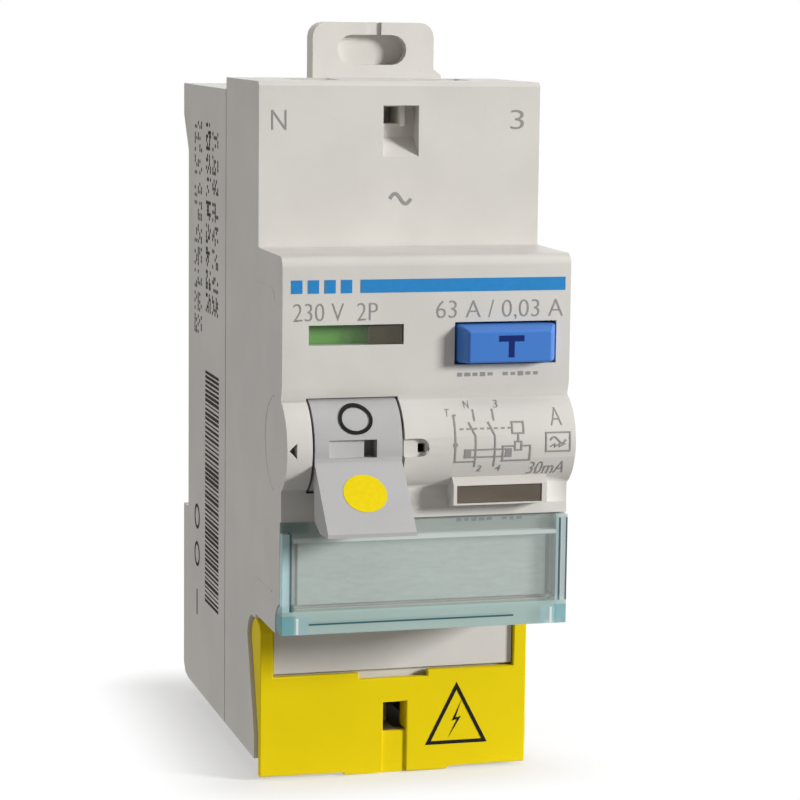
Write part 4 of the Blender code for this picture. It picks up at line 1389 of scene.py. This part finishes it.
@dataclass
class Mechanism:
    """The wound springs of the switching mechanism and the test button."""

    def build(self) -> None:
        """Builds the springs."""
        Spring("toggle_spring", (-0.8, DRUM_Y, 0.0), 2.2, 0.3, 2.6, 3, Along.X).build()
        Spring("test_spring", (9.7, -51.6, 11.9), 1.9, 0.25, 5.2, 5, Along.Y,
               Press("test_press", 2.0, (9.7, -49.0, 11.9))).build()
        for side, sign in (("left", -1), ("right", 1)):
            Spring(f"carrier_spring_{side}", (sign * 13.95, -36.0, 2.0), 1.7, 0.22, 1.3, 3, Along.X).build()


@dataclass
class Terminals:
    """The lower terminals' screws, with eased edges."""

    def build(self) -> None:
        """Builds both poles' screws."""
        for side, screw_body in (("left", Body.SCREW_LEFT), ("right", Body.SCREW_RIGHT)):
            EasedNode(f"terminal_screw_{side}", Finishes.ZINC, Slot.ZINC, screw_body, 0.2, 2).build()


def dress_nodes() -> None:
    """Gives every node that stays its slot's finish."""
    for entry in FRAME["record"]["subparts"]:
        node = FRAME["nodes"][entry["node"]]
        finish = SLOT_FINISHES[Slot(entry["material_slot"])].material()
        if node.data.materials:
            for index in range(len(node.data.materials)):
                node.data.materials[index] = finish
        else:
            node.data.materials.append(finish)


# ---------------------------------------------------------------- the studio
class Softbox(NamedTuple):
    """A square soft light: its name, its place and side in metres, and its power in watts."""

    name: str
    place: Point3
    side: float
    power: float


@dataclass
class Studio:
    """A pale floor, soft light and the camera."""

    lens: float = 122.72
    sensor: float = 36.0
    camera_at: Point3 = (-0.088636, -0.366497, 0.050697)
    yaw: float = 15.433
    pitch: float = 8.058
    roll: float = 0.688
    aim: Point3 = (0.0, -0.03, 0.0)
    lights: tuple[Softbox, ...] = (
        Softbox("key_light", (0.84, -0.58, 0.25), 0.2, 13.0),
        Softbox("top_fill", (0.1, -0.15, 0.95), 0.8, 2.9),
        Softbox("left_fill", (-0.8, 0.12, 0.15), 0.6, 2.5),
        Softbox("back_fill", (0.3, 0.9, 0.3), 0.7, 2.4))
    fill: tuple[Colour, float] = ((1.0, 0.985, 0.94), 0.17)
    floor_radius: float = 1.2
    floor_drop: float = 0.0001
    paper: Colour = (0.94, 0.94, 0.935)
    glow_lit: float = 0.32
    glow_seen: float = 0.7
    shade_at_foot: float = 0.42
    shade_reach: float = 0.015
    foot_y: float = -0.02
    foot_half_depth: float = 0.024

    def build(self, lowest: float) -> None:
        """Builds the studio.

        Args:
            lowest: The object's lowest height, in metres.
        """
        self.sky()
        self.floor(lowest)
        for light in self.lights:
            self.hang(light)
        self.camera()

    def sky(self) -> None:
        """Makes the world white to look at and dimmer as a light."""
        world = bpy.data.worlds.new("studio_sky")
        bpy.context.scene.world = world
        world.use_nodes = True
        graph = Graph(world.node_tree)
        colour, strength = self.fill
        seen = graph.node("ShaderNodeBackground", {"Color": WHITE_LIGHT, "Strength": 1.0})
        lit = graph.node("ShaderNodeBackground", {"Color": (*colour, 1.0), "Strength": strength})
        ray = graph.node("ShaderNodeLightPath")["Is Camera Ray"]
        mixed = graph.node("ShaderNodeMixShader", {0: ray, 1: lit, 2: seen})
        graph.node("ShaderNodeOutputWorld", {"Surface": mixed})

    def floor(self, lowest: float) -> None:
        """Lays the pale floor just under the object; it glows brighter away from it, and its weaker glow near
        the foot is painted shade.

        Args:
            lowest: The object's lowest height, in metres.
        """
        material = bpy.data.materials.new("studio_floor")
        material.use_nodes = True
        graph = Graph(material.node_tree)
        paper = graph.node("ShaderNodeBsdfDiffuse", {"Color": (*self.paper, 1.0)})
        ray = graph.node("ShaderNodeLightPath")["Is Camera Ray"]
        glow = graph.node("ShaderNodeEmission", {
            "Color": WHITE_LIGHT, "Strength": ray * self.glow_seen + self.glow_lit})
        spot = graph.node("ShaderNodeSeparateXYZ", {0: graph.place()})
        beside = (spot["X"].math("ABSOLUTE") - HALF_WIDTH * MM).math("MAXIMUM", 0.0)
        ahead = ((spot["Y"] - self.foot_y).math("ABSOLUTE") - self.foot_half_depth).math("MAXIMUM", 0.0)
        distance = (beside * beside + ahead * ahead).math("SQRT")
        # painted shade: less glow near the foot
        far = distance.ramp(0.0, self.shade_reach) * (1 - self.shade_at_foot) + self.shade_at_foot
        mixed = graph.node("ShaderNodeMixShader", {0: far, 1: paper, 2: glow})
        graph.node("ShaderNodeOutputMaterial", {"Surface": mixed})
        bm = bmesh.new()
        bmesh.ops.create_circle(bm, cap_ends=True, segments=96, radius=self.floor_radius)
        mesh = bpy.data.meshes.new("studio_floor")
        bm.to_mesh(mesh)
        bm.free()
        mesh.transform(Matrix.Translation((0, 0, lowest - self.floor_drop)))
        mesh.materials.append(material)
        floor = bpy.data.objects.new("studio_floor", mesh)
        bpy.context.scene.collection.objects.link(floor)
        floor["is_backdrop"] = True

    def hang(self, box_light: Softbox) -> None:
        """Hangs a soft light that faces the object.

        Args:
            box_light: The light.
        """
        light = bpy.data.lights.new(box_light.name, "AREA")
        light.shape = "SQUARE"
        light.size = box_light.side
        light.energy = box_light.power
        lamp = bpy.data.objects.new(box_light.name, light)
        lamp.location = box_light.place
        lamp.rotation_mode = "QUATERNION"
        lamp.rotation_quaternion = (Vector(self.aim) - lamp.location).to_track_quat("-Z", "Y")
        bpy.context.scene.collection.objects.link(lamp)

    def camera(self) -> None:
        """Sets up the camera and a plain view of its colours."""
        yaw, pitch, roll = (math.radians(angle) for angle in (self.yaw, self.pitch, self.roll))
        ahead = Vector((math.sin(yaw) * math.cos(pitch), math.cos(yaw) * math.cos(pitch), -math.sin(pitch)))
        level = Vector((math.cos(yaw), -math.sin(yaw), 0.0))
        upright = level.cross(ahead)
        right = level * math.cos(roll) + upright * math.sin(roll)
        up = upright * math.cos(roll) - level * math.sin(roll)
        data = bpy.data.cameras.new("camera")
        data.sensor_width = self.sensor
        data.lens = self.lens
        data.clip_start = 0.01
        camera = bpy.data.objects.new("camera", data)
        turn = Matrix((right, up, -ahead)).transposed().to_4x4()
        camera.matrix_world = Matrix.Translation(self.camera_at) @ turn
        bpy.context.scene.collection.objects.link(camera)
        bpy.context.scene.camera = camera
        bpy.context.scene.view_settings.view_transform = "Standard"


def main() -> None:
    """Builds and dresses the whole device."""
    logging.basicConfig(level=logging.INFO, format="%(message)s")
    cad_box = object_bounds()
    dress_nodes()
    for assembly in (Housing(), FrontPrint(), SidePrint(), Toggle(), TestButton(), TerminalCover(),
                     LabelFlap(), RailClip(), Mechanism(), Terminals()):
        assembly.build()
        LOG.info("built %s", type(assembly).__name__)
    Studio().build(cad_box[0].z)


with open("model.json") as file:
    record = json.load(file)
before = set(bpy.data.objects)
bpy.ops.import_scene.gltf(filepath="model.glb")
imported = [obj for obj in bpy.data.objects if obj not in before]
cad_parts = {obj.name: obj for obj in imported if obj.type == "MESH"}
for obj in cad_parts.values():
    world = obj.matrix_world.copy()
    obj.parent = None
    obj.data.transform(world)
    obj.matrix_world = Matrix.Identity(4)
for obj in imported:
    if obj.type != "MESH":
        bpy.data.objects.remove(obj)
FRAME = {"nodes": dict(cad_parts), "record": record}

if __name__ == "__main__":
    main()
